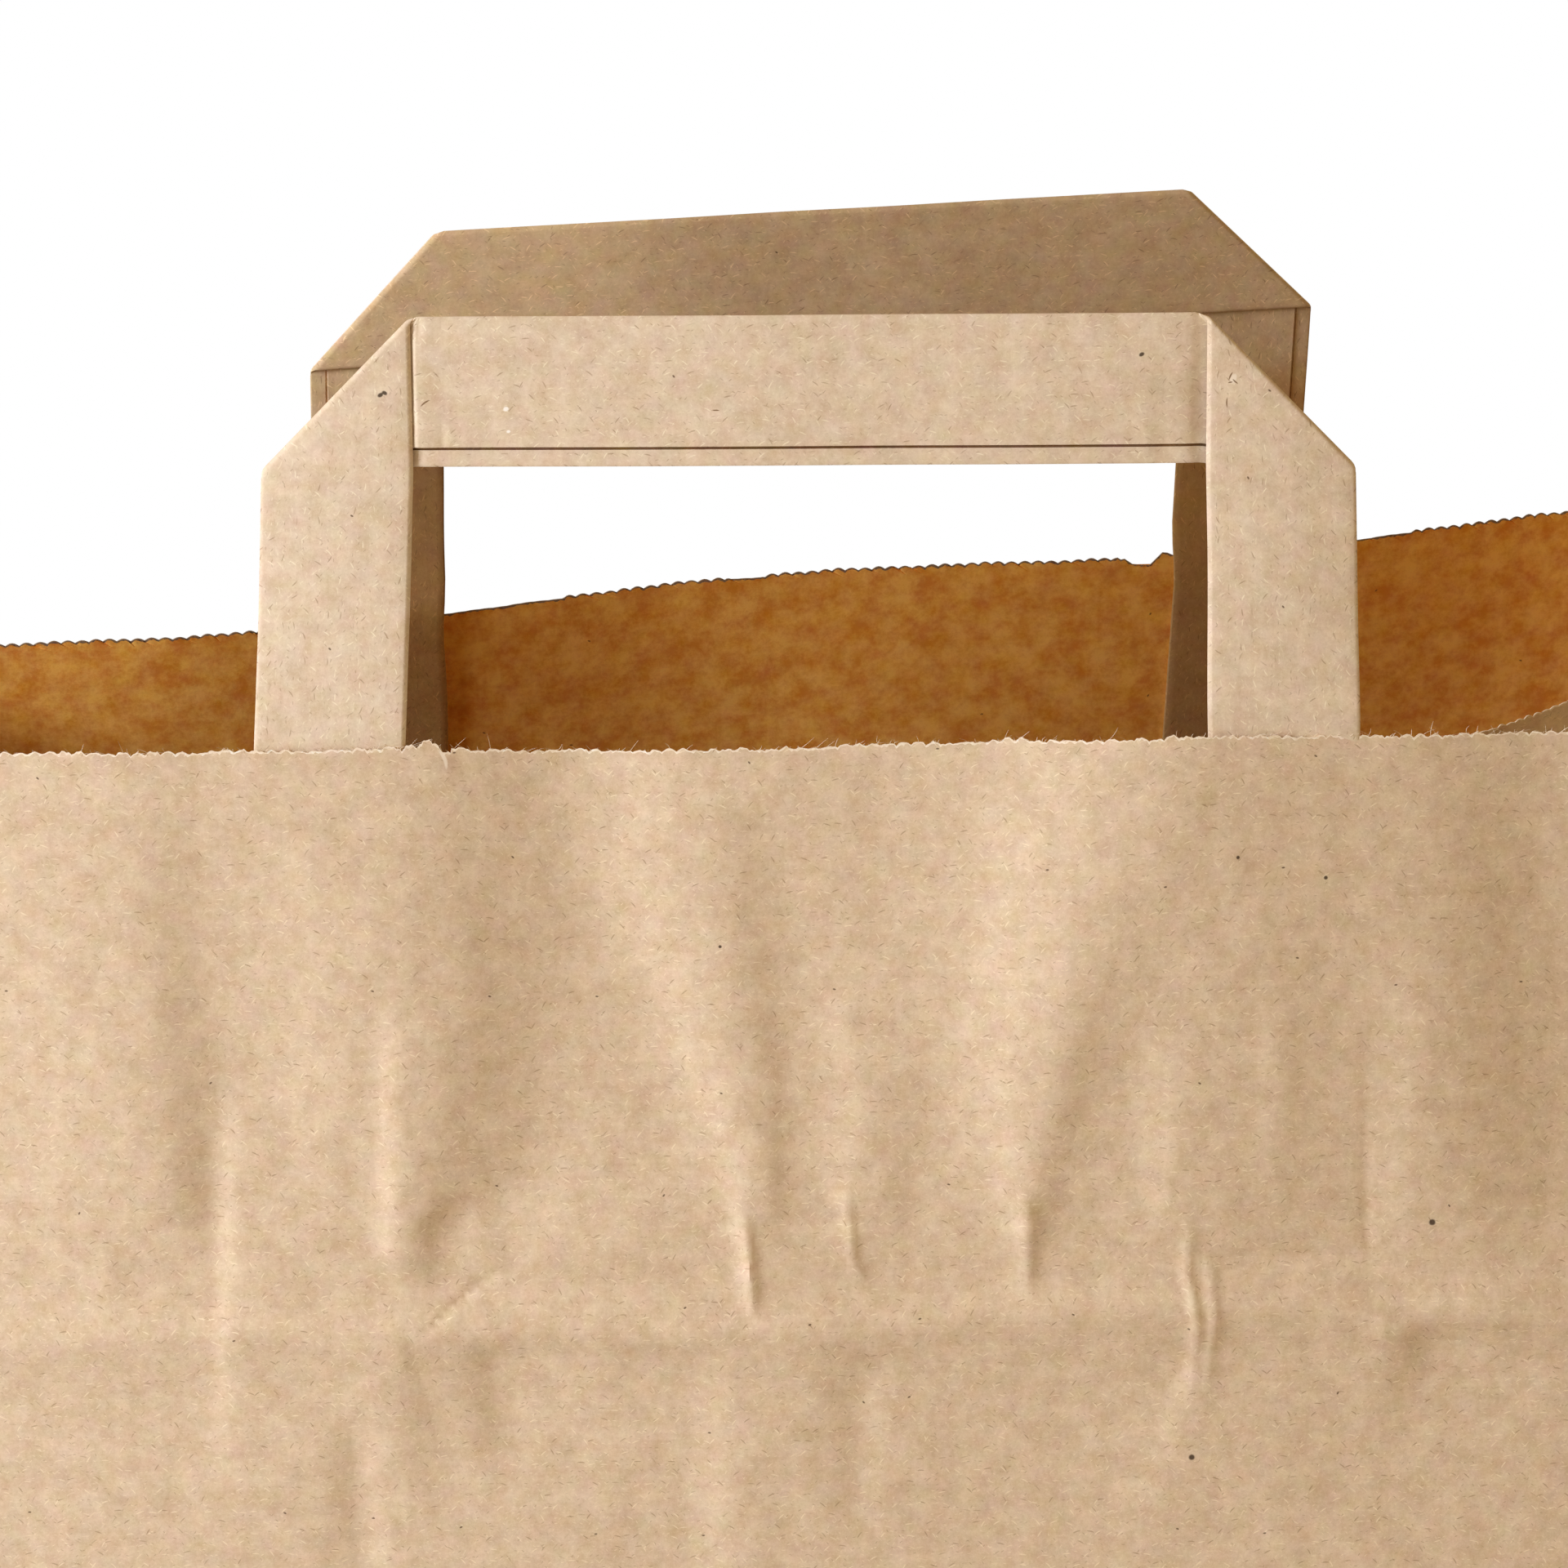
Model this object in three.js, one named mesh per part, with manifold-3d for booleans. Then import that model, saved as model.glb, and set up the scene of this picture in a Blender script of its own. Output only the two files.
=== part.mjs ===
// A brown kraft paper carrier bag that stands open, with two flat handles folded from paper tape.
// Millimetres, +Z up, front panel towards -Y, origin under the middle of the flat bottom.

import * as THREE from 'three';
import { mergeVertices } from 'three/addons/utils/BufferGeometryUtils.js';
import Module from 'manifold-3d';

const wasm = await Module();
wasm.setup();

// Driving dimensions of the folded sheet

const bagWidth = 320;
const bagDepth = 170;
const panelHeight = 270;
const paper = 0.2;

// How the mouth stands open

const frontRimY = -30;
const mouthDepth = 62;
const mouthYaw = THREE.MathUtils.degToRad(10.8);
const gussetBow = 0.8;
const foldStartInset = 6;
const rightFold = { inset: 68, behindFront: 20, drop: 9 };
const leftFold = { inset: 60, behindFront: 14, drop: 14 };

// Serrated cut along the rim

const toothPitch = 2.14;
const toothDepth = 0.6;

// Block bottom

const flapOverlap = 24;
const flapInset = 0.3;

// Paper tape handles; each leg leans outward by its own splay, in degrees, left and right as seen from outside

const tapeWidth = 22;
const tapeThickness = 0.7;
const tapePly = 0.15;
const seamFromEdge = 2.4;
const handleWidth = 157;
const handleRise = 62.5;
const frontSplay = { left: 2.8, right: 1.7 };
const backSplay = { left: -1.3, right: 2.5 };
const legDepth = 78;
const frontHandleBend = THREE.MathUtils.degToRad(2);
const backHandleBend = THREE.MathUtils.degToRad(10);
const backHandleShift = 2;
const turnWidth = 0.9;
const turnGap = 0.15;
const jointLap = 0.6;

// Patches over the leg ends

const patchTop = 42;
const patchPastLegs = 4;
const patchMargin = 12;
const patchStep = 3;
const glueGap = 0.3;

// Mesh steps

const columns = 16;
const rows = 10;
const gussetColumns = 8;
const legRows = 4;
const patchRows = 4;
const sharpFold = Math.cos(THREE.MathUtils.degToRad(8));
const longestMitre = 4;
const mergeStep = 1e-3;

const halfWidth = bagWidth / 2;
const halfDepth = bagDepth / 2;
const bottomZ = 2 * paper;
const rimZ = bottomZ + Math.sqrt(panelHeight ** 2 - (halfDepth + frontRimY) ** 2);
const backRimY = (x) => frontRimY + mouthDepth + x * Math.tan(mouthYaw);
const vector = (x, y, z) => new THREE.Vector3(x, y, z);
const between = (from, to, share) => from.clone().lerp(to, share);

// Panels: `across` runs over the width, `up` from 0 at the bottom fold to 1 at the rim

function frontPanel(across, up) {
  return between(vector(across, -halfDepth, bottomZ), vector(across, frontRimY, rimZ), up);
}

function backPanel(across, up) {
  return between(vector(across, halfDepth, bottomZ), vector(across, backRimY(across), rimZ), up);
}

// Gussets: the crease runs from the point of the bottom triangle to the fold in the rim

function gussetCrease(side, up) {
  const fold = side > 0 ? rightFold : leftFold;
  const start = vector(side * (halfWidth - foldStartInset), 0, bottomZ + halfDepth);
  const end = vector(side * (halfWidth - fold.inset), frontRimY + fold.behindFront, rimZ - fold.drop);
  return between(start, end, up);
}

function gussetHalf(side, panel, share, up) {
  const crease = gussetCrease(side, up);
  const corner = panel(side * halfWidth, up);
  const bowed = share ** (1 + gussetBow * up);
  const point = between(crease, corner, bowed);
  point.x = THREE.MathUtils.lerp(crease.x, corner.x, share);
  return point;
}

// Triangle lists

function addTriangle(list, a, b, c) {
  list.push(a.clone(), b.clone(), c.clone());
}

function addQuad(list, a, b, c, d) {
  addTriangle(list, a, b, c);
  addTriangle(list, a, c, d);
}

// One cell under the rim, whose top edge is a run of teeth
function addSerratedCell(list, lowLeft, lowRight, surface, fromShare, toShare) {
  const topLeft = surface(fromShare, 1);
  const topRight = surface(toShare, 1);
  const teeth = Math.max(1, Math.round(topLeft.distanceTo(topRight) / toothPitch));
  const steps = 2 * teeth;
  const middle = teeth;
  const edge = [];
  for (let step = 0; step <= steps; step += 1) {
    const share = THREE.MathUtils.lerp(fromShare, toShare, step / steps);
    const height = step % 2 === 0 ? 0 : toothDepth / panelHeight;
    edge.push(surface(share, 1 + height));
  }
  for (let step = 0; step < steps; step += 1) {
    const corner = step < middle ? lowLeft : lowRight;
    addTriangle(list, corner, edge[step + 1], edge[step]);
  }
  addTriangle(list, lowLeft, lowRight, edge[middle]);
}

// A sheet from `surface(share, up)`, seen from outside with `share` running to the right
function addSheet(list, surface, columnCount) {
  for (let column = 0; column < columnCount; column += 1) {
    const left = column / columnCount;
    const right = (column + 1) / columnCount;
    for (let row = 0; row < rows - 1; row += 1) {
      const low = row / rows;
      const high = (row + 1) / rows;
      addQuad(list, surface(left, low), surface(right, low), surface(right, high), surface(left, high));
    }
    const last = (rows - 1) / rows;
    addSerratedCell(list, surface(left, last), surface(right, last), surface, left, right);
  }
}

// The triangle between the two diagonal creases and the bottom fold of one side
function addSideTriangle(list, side) {
  for (let step = 0; step < gussetColumns; step += 1) {
    const outer = 1 - step / gussetColumns;
    const inner = 1 - (step + 1) / gussetColumns;
    const corners = [
      gussetHalf(side, frontPanel, outer, 0),
      gussetHalf(side, backPanel, outer, 0),
      gussetHalf(side, backPanel, inner, 0),
      gussetHalf(side, frontPanel, inner, 0),
    ];
    if (side < 0) {
      corners.reverse();
    }
    addTriangle(list, corners[0], corners[1], corners[2]);
    addTriangle(list, corners[0], corners[2], corners[3]);
  }
}

function addBottom(list) {
  for (let column = 0; column < columns; column += 1) {
    const left = THREE.MathUtils.lerp(-halfWidth, halfWidth, column / columns);
    const right = THREE.MathUtils.lerp(-halfWidth, halfWidth, (column + 1) / columns);
    addQuad(list, backPanel(left, 0), backPanel(right, 0), frontPanel(right, 0), frontPanel(left, 0));
  }
}

function outsideOfBag() {
  const list = [];
  const widthAt = (share) => THREE.MathUtils.lerp(-halfWidth, halfWidth, share);
  addSheet(list, (share, up) => frontPanel(widthAt(share), up), columns);
  addSheet(list, (share, up) => backPanel(-widthAt(share), up), columns);
  addSheet(list, (share, up) => gussetHalf(1, frontPanel, 1 - share, up), gussetColumns);
  addSheet(list, (share, up) => gussetHalf(1, backPanel, share, up), gussetColumns);
  addSheet(list, (share, up) => gussetHalf(-1, backPanel, 1 - share, up), gussetColumns);
  addSheet(list, (share, up) => gussetHalf(-1, frontPanel, share, up), gussetColumns);
  addSideTriangle(list, 1);
  addSideTriangle(list, -1);
  addBottom(list);
  return list;
}

// Solids

function indexed(points) {
  const flat = points.flatMap((point) => [point.x, point.y, point.z]);
  const geometry = new THREE.BufferGeometry();
  geometry.setAttribute('position', new THREE.Float32BufferAttribute(flat, 3));
  const merged = mergeVertices(geometry, mergeStep);
  const kept = [];
  const index = merged.index.array;
  for (let at = 0; at < index.length; at += 3) {
    const [a, b, c] = [index[at], index[at + 1], index[at + 2]];
    if (a !== b && b !== c && c !== a) {
      kept.push(a, b, c);
    }
  }
  merged.setIndex(kept);
  return merged;
}

// The way from each point of a sheet to its other face: one thickness off every plane that meets there
function mitres(points, index) {
  const normals = points.map(() => []);
  const triangle = new THREE.Triangle();
  for (let at = 0; at < index.length; at += 3) {
    triangle.set(points[index[at]], points[index[at + 1]], points[index[at + 2]]);
    const normal = triangle.getNormal(vector(0, 0, 0));
    for (const corner of [index[at], index[at + 1], index[at + 2]]) {
      if (normals[corner].every((other) => other.dot(normal) < sharpFold)) {
        normals[corner].push(normal);
      }
    }
  }
  return normals.map((set) => {
    const mean = set.reduce((sum, normal) => sum.add(normal), vector(0, 0, 0)).divideScalar(set.length);
    return mean.divideScalar(mean.lengthSq()).clampLength(0, longestMitre);
  });
}

// A sheet given by its outer face becomes a closed solid of the paper's thickness
function thickened(points, thickness) {
  const sheet = indexed(points);
  const position = sheet.attributes.position;
  const outer = [];
  for (let at = 0; at < position.count; at += 1) {
    outer.push(new THREE.Vector3().fromBufferAttribute(position, at));
  }
  const index = Array.from(sheet.index.array);
  const ways = mitres(outer, index);
  const inner = outer.map((point, at) => point.clone().addScaledVector(ways[at], -thickness));
  const list = [];
  const directed = new Set();
  for (let at = 0; at < index.length; at += 3) {
    const [a, b, c] = [index[at], index[at + 1], index[at + 2]];
    addTriangle(list, outer[a], outer[b], outer[c]);
    addTriangle(list, inner[a], inner[c], inner[b]);
    directed.add(`${a},${b}`).add(`${b},${c}`).add(`${c},${a}`);
  }
  for (const edge of directed) {
    const [from, to] = edge.split(',').map(Number);
    if (!directed.has(`${to},${from}`)) {
      addQuad(list, outer[to], outer[from], inner[from], inner[to]);
    }
  }
  return indexed(list);
}

// A closed block between two faces, each a function of column and row counts
function gridSolid(columnCount, rowCount, lower, upper) {
  const list = [];
  for (let column = 0; column < columnCount; column += 1) {
    for (let row = 0; row < rowCount; row += 1) {
      const corners = [[column, row], [column + 1, row], [column + 1, row + 1], [column, row + 1]];
      const near = corners.map(([c, r]) => lower(c, r));
      const far = corners.map(([c, r]) => upper(c, r));
      addQuad(list, ...near);
      addQuad(list, far[0], far[3], far[2], far[1]);
      if (row === 0) addQuad(list, near[1], near[0], far[0], far[1]);
      if (row === rowCount - 1) addQuad(list, near[3], near[2], far[2], far[3]);
      if (column === 0) addQuad(list, near[0], near[3], far[3], far[0]);
      if (column === columnCount - 1) addQuad(list, near[2], near[1], far[1], far[2]);
    }
  }
  return indexed(list);
}

function extruded(outline, depth) {
  const shape = new THREE.Shape(outline.map(([x, y]) => new THREE.Vector2(x, y)));
  return new THREE.ExtrudeGeometry(shape, { depth, bevelEnabled: false });
}

// An upright plate with its outline in `across` and `up`, from depth `near` to depth `far`
function plate(outline, near, far) {
  return extruded(outline, far - near).rotateX(Math.PI / 2).translate(0, far, 0);
}

function toManifold(geometry) {
  const bare = geometry.clone();
  bare.deleteAttribute('normal');
  bare.deleteAttribute('uv');
  const merged = mergeVertices(bare, mergeStep);
  const mesh = new wasm.Mesh({
    numProp: 3,
    vertProperties: new Float32Array(merged.attributes.position.array),
    triVerts: new Uint32Array(merged.index.array),
  });
  return new wasm.Manifold(mesh);
}

function joined(geometries) {
  const [first, ...others] = geometries.map(toManifold);
  const mesh = others.reduce((solid, other) => solid.add(other), first).getMesh();
  const geometry = new THREE.BufferGeometry();
  geometry.setAttribute('position', new THREE.BufferAttribute(mesh.vertProperties, 3));
  geometry.setIndex(new THREE.BufferAttribute(mesh.triVerts, 1));
  return geometry;
}

// Bag body: the folded sheet, with the two bottom flaps glued over each other underneath

function bottomFlap(side, lowest) {
  const reach = halfDepth + flapOverlap / 2;
  const wide = halfWidth - flapInset;
  const edgeY = side * (halfDepth - flapInset);
  const endY = -side * flapOverlap / 2;
  const outline = [[-wide, edgeY], [wide, edgeY], [wide - reach, endY], [reach - wide, endY]];
  return extruded(outline, bottomZ + paper / 2 - lowest).translate(0, 0, lowest);
}

function bagBody() {
  const sheet = thickened(outsideOfBag(), paper);
  return joined([sheet, bottomFlap(-1, paper), bottomFlap(1, 0)]);
}

// Places on the inner face of a panel: `across` to the right seen from outside, `up` from the rim, `inward`;
// `shift` is where their middle stands along X

function insideOf(panel, turn, shift) {
  return (across, up, inward) => {
    const point = (x, z) => panel(turn * x + shift, 1 + z / panelHeight);
    const base = point(across, up);
    const acrossWay = point(across + 1, up).sub(point(across - 1, up));
    const upWay = point(across, up + 1).sub(point(across, up - 1));
    const inwardWay = upWay.cross(acrossWay).normalize();
    return base.addScaledVector(inwardWay, paper + inward);
  };
}

const insideFront = insideOf(frontPanel, 1, 0);
const insideBack = insideOf(backPanel, -1, backHandleShift);

// Handles: two legs against the panel, turned over at 45 degrees into a grip strip that lies inside them

const halfHandle = handleWidth / 2;
const turnUp = handleRise - tapeWidth;
const legNear = glueGap;
const legFar = legNear + tapeThickness;
const gripNear = legFar + turnGap;
const gripFar = gripNear + tapeThickness;

// The outer edge of one leg at a height
function legOuter(splay, side, up) {
  const angle = THREE.MathUtils.degToRad(side > 0 ? splay.right : splay.left);
  return halfHandle + (turnUp - up) * Math.tan(angle);
}

// The part of a leg that lies against the panel, with its last ply ending short of the outer edge
function lowerLeg(place, side, splay) {
  const upAt = (row) => THREE.MathUtils.lerp(-legDepth, jointLap, row / legRows);
  const slab = (outerInset, near, far) => {
    const across = (column, up) => side * (legOuter(splay, side, up) - (column === 0 ? tapeWidth : outerInset));
    const at = (inward) => (column, row) => {
      const ordered = side > 0 ? column : 1 - column;
      return place(across(ordered, upAt(row)), upAt(row), inward);
    };
    return gridSolid(1, legRows, at(near), at(far));
  };
  return [
    slab(0, legNear, legFar - tapePly),
    slab(seamFromEdge, legNear + tapeThickness / 2, legFar),
  ];
}

// The part of a leg above the rim, up to the turned corner
function upperLeg(side, splay) {
  const foot = legOuter(splay, side, -jointLap);
  const outline = (outerInset, topInset) => [
    [side * (foot - tapeWidth), -jointLap],
    [side * (foot - outerInset), -jointLap],
    [side * (halfHandle - outerInset), turnUp + topInset],
    [side * (halfHandle - tapeWidth), handleRise],
  ];
  return [
    plate(outline(0, 0), legNear, legFar - tapePly),
    plate(outline(seamFromEdge, seamFromEdge), legNear + tapeThickness / 2, legFar),
  ];
}

function gripStrip() {
  const outline = (lift) => [
    [lift - halfHandle, turnUp + lift],
    [halfHandle - lift, turnUp + lift],
    [halfHandle - tapeWidth, handleRise],
    [tapeWidth - halfHandle, handleRise],
  ];
  return [
    plate(outline(0), gripNear + tapePly, gripFar),
    plate(outline(seamFromEdge), gripNear, gripNear + tapeThickness / 2),
  ];
}

// The turned edge that joins a leg to the grip strip along the diagonal
function turnedCorner(side) {
  const low = [side * halfHandle, turnUp];
  const high = [side * (halfHandle - tapeWidth), handleRise];
  const outline = [low, high, [high[0], high[1] - turnWidth], [low[0] - side * turnWidth, low[1]]];
  return plate(outline, legNear + tapePly / 2, gripFar - tapePly / 2);
}

function handle(place, bend, splay) {
  const origin = place(0, 0, 0);
  const acrossWay = place(1, 0, 0).sub(place(-1, 0, 0)).normalize();
  const panelUp = place(0, 1, 0).sub(place(0, -1, 0)).normalize();
  const upWay = panelUp.applyAxisAngle(acrossWay, bend);
  const inwardWay = upWay.clone().cross(acrossWay).normalize();
  const stand = new THREE.Matrix4().makeBasis(acrossWay, inwardWay, upWay).setPosition(origin);
  const legs = [...upperLeg(1, splay), ...upperLeg(-1, splay)];
  const upper = [...legs, ...gripStrip(), turnedCorner(1), turnedCorner(-1)];
  const lower = [...lowerLeg(place, 1, splay), ...lowerLeg(place, -1, splay)];
  return joined([...upper.map((piece) => piece.applyMatrix4(stand)), ...lower]);
}

// Patch: a strip that lies on the panel and steps up over the two legs

function handlePatch(place, splay) {
  const patchLow = -legDepth - patchPastLegs;
  const overLeg = legFar + glueGap;
  const stepsOver = (side) => {
    const edges = [legOuter(splay, side, patchLow), legOuter(splay, side, -patchTop)];
    return { outer: Math.max(...edges) + glueGap, inner: Math.min(...edges) - tapeWidth - glueGap };
  };
  const left = stepsOver(-1);
  const right = stepsOver(1);
  const half = Math.max(left.outer, right.outer) + patchStep + patchMargin;
  const section = [
    [-half, glueGap],
    [-left.outer - patchStep, glueGap],
    [-left.outer, overLeg],
    [-left.inner, overLeg],
    [patchStep - left.inner, glueGap],
    [right.inner - patchStep, glueGap],
    [right.inner, overLeg],
    [right.outer, overLeg],
    [right.outer + patchStep, glueGap],
    [half, glueGap],
  ];
  const at = (lift) => (column, row) => {
    const [across, inward] = section[column];
    return place(across, THREE.MathUtils.lerp(patchLow, -patchTop, row / patchRows), inward + lift);
  };
  return gridSolid(section.length - 1, patchRows, at(0), at(paper));
}

// Assembly

const kraft = new THREE.MeshStandardMaterial({ color: 0xd6ba98, roughness: 0.9, metalness: 0 });
const tapeKraft = new THREE.MeshStandardMaterial({ color: 0xdac1a2, roughness: 0.9, metalness: 0 });

function named(name, geometry, material) {
  const mesh = new THREE.Mesh(geometry, material);
  mesh.name = name;
  return mesh;
}

const group = new THREE.Group();
group.name = 'flat_handle_paper_bag';
group.add(
  named('bag_body', bagBody(), kraft),
  named('front_handle', handle(insideFront, -frontHandleBend, frontSplay), tapeKraft),
  named('back_handle', handle(insideBack, backHandleBend, backSplay), tapeKraft),
  named('front_handle_patch', handlePatch(insideFront, frontSplay), kraft),
  named('back_handle_patch', handlePatch(insideBack, backSplay), kraft),
);

export default group;
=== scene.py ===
# %% [markdown]
# # A brown paper carrier bag with two flat tape handles
# The bag is one sheet of kraft paper, folded into a tube with side gussets and a block bottom. Its
# handles are strips of folded paper tape, glued inside under a patch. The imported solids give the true
# sizes; this lesson makes the paper that is seen: its folds, its cut edge, its fibres and its colour.

# %% The frame
import math
from collections import namedtuple

import bpy
import numpy as np
from mathutils import Matrix, Vector


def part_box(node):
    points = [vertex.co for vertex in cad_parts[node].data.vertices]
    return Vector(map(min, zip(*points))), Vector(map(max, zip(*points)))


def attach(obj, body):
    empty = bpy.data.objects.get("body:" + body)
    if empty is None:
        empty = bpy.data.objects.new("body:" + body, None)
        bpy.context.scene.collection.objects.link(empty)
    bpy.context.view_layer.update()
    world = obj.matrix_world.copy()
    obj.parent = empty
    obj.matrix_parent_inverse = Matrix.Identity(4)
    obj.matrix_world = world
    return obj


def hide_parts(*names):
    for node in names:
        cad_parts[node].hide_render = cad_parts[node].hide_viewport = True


MM = 0.001
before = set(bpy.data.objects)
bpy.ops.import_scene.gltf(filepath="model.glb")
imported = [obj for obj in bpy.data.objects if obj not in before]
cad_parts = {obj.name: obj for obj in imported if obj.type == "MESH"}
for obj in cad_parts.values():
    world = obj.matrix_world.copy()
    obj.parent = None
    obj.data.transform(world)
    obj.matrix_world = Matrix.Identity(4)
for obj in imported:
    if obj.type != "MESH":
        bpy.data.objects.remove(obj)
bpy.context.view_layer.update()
print("solids in the frame:", ", ".join(sorted(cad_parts)))

# %% [markdown]
# ## The sheet's sizes
# Every piece follows the same few sizes: the panels lean in from the bottom to the rim, and the back rim
# stands slightly turned and waved. They come first because the camera, too, is aimed at the front rim.

# %% Sizes of the folded sheet, in millimetres
_, corner_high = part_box("bag_body")
half_width = corner_high[0] / MM
half_depth = corner_high[1] / MM
panel_height = 270.0
paper = 0.2
bottom_z = 2 * paper
front_rim_y = -30.0
mouth_depth = 62.0
mouth_yaw = math.radians(10.8)
lean = math.asin((half_depth + front_rim_y) / panel_height)
rim_z = bottom_z + panel_height * math.cos(lean)
front_outward = np.array([0.0, -math.cos(lean), math.sin(lean)])
print(f"bag {2 * half_width:.0f} x {2 * half_depth:.0f} mm, rim {rim_z:.1f} mm high")
print(f"panels lean in by {math.degrees(lean):.1f} degrees")

# %% [markdown]
# ## The camera
# The picture is a close view of the bag's upper part, taken from the front and above. The frame could be
# found by moving the camera until it fits; here it is written as the point looked at, the distance and
# two angles, so that each number means something.

# %% Camera
look_at = Vector((-3.6, front_rim_y - 1.2, rim_z - 5.5)) * MM
view_distance = 690 * MM
view_down = math.radians(25)
view_roll = math.radians(-0.53)
view_width = 227.6 * MM

forward = Vector((0, math.cos(view_down), -math.sin(view_down)))
right = Vector((1, 0, 0))
up = right.cross(forward)
tilted_right = right * math.cos(view_roll) + up * math.sin(view_roll)
tilted_up = up * math.cos(view_roll) - right * math.sin(view_roll)
camera_data = bpy.data.cameras.new("camera")
camera_data.lens = camera_data.sensor_width * view_distance / view_width
camera = bpy.data.objects.new("camera", camera_data)
turn = Matrix((tilted_right, tilted_up, -forward)).transposed().to_4x4()
camera.matrix_world = Matrix.Translation(look_at - forward * view_distance) @ turn
bpy.context.collection.objects.link(camera)
bpy.context.scene.camera = camera
print(f"lens {camera_data.lens:.1f} mm at {view_distance:.2f} m")

# %% [markdown]
# ## Light and stage
# Paper shows its folds only where light grazes it. One large soft lamp stands near the bag's left side,
# so the light falls off a little to the right; a weak even world fills the shadows. The floor is plain
# and pale near the bag, where it keeps the shadow, and turns to pure white further out, as a
# photographer's sweep does.

# %% Lamp, world and floor
scene = bpy.context.scene
scene.view_settings.view_transform = "Standard"
lamp_way = Vector((-0.85, -0.36, 0.385)).normalized()
lamp_distance = 1.0
lamp_data = bpy.data.lights.new("softbox", "AREA")
lamp_data.shape = "DISK"
lamp_data.size = 0.42
lamp_data.energy = 10.7
lamp_data.color = (0.90, 1.0, 1.23)
lamp = bpy.data.objects.new("softbox", lamp_data)
lamp.location = look_at + lamp_way * lamp_distance
lamp.rotation_euler = lamp_way.to_track_quat("Z", "Y").to_euler()
bpy.context.collection.objects.link(lamp)
fill_strength = 0.46
fill_colour = (1.0, 0.74, 0.40, 1)


class Wire:
    """One socket in a node tree: sums and products of wires add the Math nodes that they stand for."""

    def __init__(self, tree, socket):
        self.tree = tree
        self.socket = socket

    def maths(self, operation, value):
        sockets = {"Value": self, "Value_001": value}
        return add_node(self.tree, "ShaderNodeMath", {"operation": operation}, sockets)

    def __add__(self, value):
        return self.maths("ADD", value)

    def __sub__(self, value):
        return self.maths("SUBTRACT", value)

    def __mul__(self, value):
        return self.maths("MULTIPLY", value)

    def __gt__(self, value):
        return self.maths("GREATER_THAN", value)

    def other(self, name):
        """Another output of the same node."""
        return Wire(self.tree, self.socket.node.outputs[name])


def add_node(tree, kind, settings=None, sockets=None, output=0):
    """Adds one node: its settings, then the values or wires of its sockets. Returns one of its outputs."""
    node = tree.nodes.new(kind)
    for name, value in (settings or {}).items():
        setattr(node, name, value)
    by_name = {socket.identifier: socket for socket in node.inputs}
    for name, value in (sockets or {}).items():
        if isinstance(value, Wire):
            tree.links.new(value.socket, by_name[name])
        else:
            by_name[name].default_value = value
    return Wire(tree, node.outputs[output]) if node.outputs else node


def seen_directly(tree):
    """1 for what the camera, a reflection or a refraction sees, 0 for light on its way to other surfaces."""
    rays = add_node(tree, "ShaderNodeLightPath")
    seen = rays.other("Is Camera Ray") + rays.other("Is Glossy Ray") + rays.other("Is Transmission Ray")
    return seen > 0.5


def empty_tree(owner):
    """The node tree of a finish or a world, cleared."""
    owner.use_nodes = True
    owner.node_tree.nodes.clear()
    return owner.node_tree


def white_world():
    world = bpy.data.worlds.new("white_room")
    scene.world = world
    tree = empty_tree(world)
    white = add_node(tree, "ShaderNodeBackground", None, {"Color": (1, 1, 1, 1), "Strength": 1.0})
    fill = add_node(tree, "ShaderNodeBackground", None, {"Color": fill_colour, "Strength": fill_strength})
    room = add_node(tree, "ShaderNodeMixShader", None,
                    {"Fac": seen_directly(tree), "Shader": fill, "Shader_001": white})
    add_node(tree, "ShaderNodeOutputWorld", None, {"Surface": room})


def white_floor():
    size, sunk = 4.0, -0.05 * MM
    fade_centre, fade_start, fade_end = (0.22, -0.1, 0), 0.4, 0.68
    corners = [(-size, -size, sunk), (size, -size, sunk), (size, size, sunk), (-size, size, sunk)]
    mesh = bpy.data.meshes.new("floor")
    mesh.from_pydata(corners, [], [(0, 1, 2, 3)])
    floor = bpy.data.objects.new("floor", mesh)
    bpy.context.collection.objects.link(floor)
    finish = bpy.data.materials.new("pale_floor")
    tree = empty_tree(finish)
    place = add_node(tree, "ShaderNodeTexCoord", None, None, 3)
    away = add_node(tree, "ShaderNodeVectorMath", {"operation": "DISTANCE"},
                    {"Vector": place, "Vector_001": fade_centre}, 1)
    fade = add_node(tree, "ShaderNodeMapRange", {"interpolation_type": "SMOOTHSTEP"},
                    {"Value": away, "From Min": fade_start, "From Max": fade_end})
    matte = add_node(tree, "ShaderNodeBsdfDiffuse", None, {"Color": (0.86, 0.86, 0.86, 1)})
    white = add_node(tree, "ShaderNodeEmission", None, {"Color": (1, 1, 1, 1), "Strength": 1.0})
    mixed = add_node(tree, "ShaderNodeMixShader", None,
                     {"Fac": fade * seen_directly(tree), "Shader": matte, "Shader_001": white})
    add_node(tree, "ShaderNodeOutputMaterial", None, {"Surface": mixed})
    mesh.materials.append(finish)


white_world()
white_floor()
print(f"one soft lamp {lamp_distance} m away, fill {fill_strength}")

# %% [markdown]
# ## Panels as functions
# A paper panel is a surface with two coordinates: how far across, and how far up from the bottom fold
# (0) to the rim (1). Written as functions of arrays, the same panels serve the sheet, the handle legs
# that lie against them and the patches, so those pieces touch without any fitting.

# %% Plain panels and gussets
def blend(start, end, share):
    return start + (end - start) * share


def smooth(value, start, end):
    """0 before start, 1 after end, with a soft change between them."""
    share = np.clip((value - start) / (end - start), 0, 1)
    return share * share * (3 - 2 * share)


def xyz(x, y, z):
    return np.stack(np.broadcast_arrays(x, y, z), axis=-1).astype(float)


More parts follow.
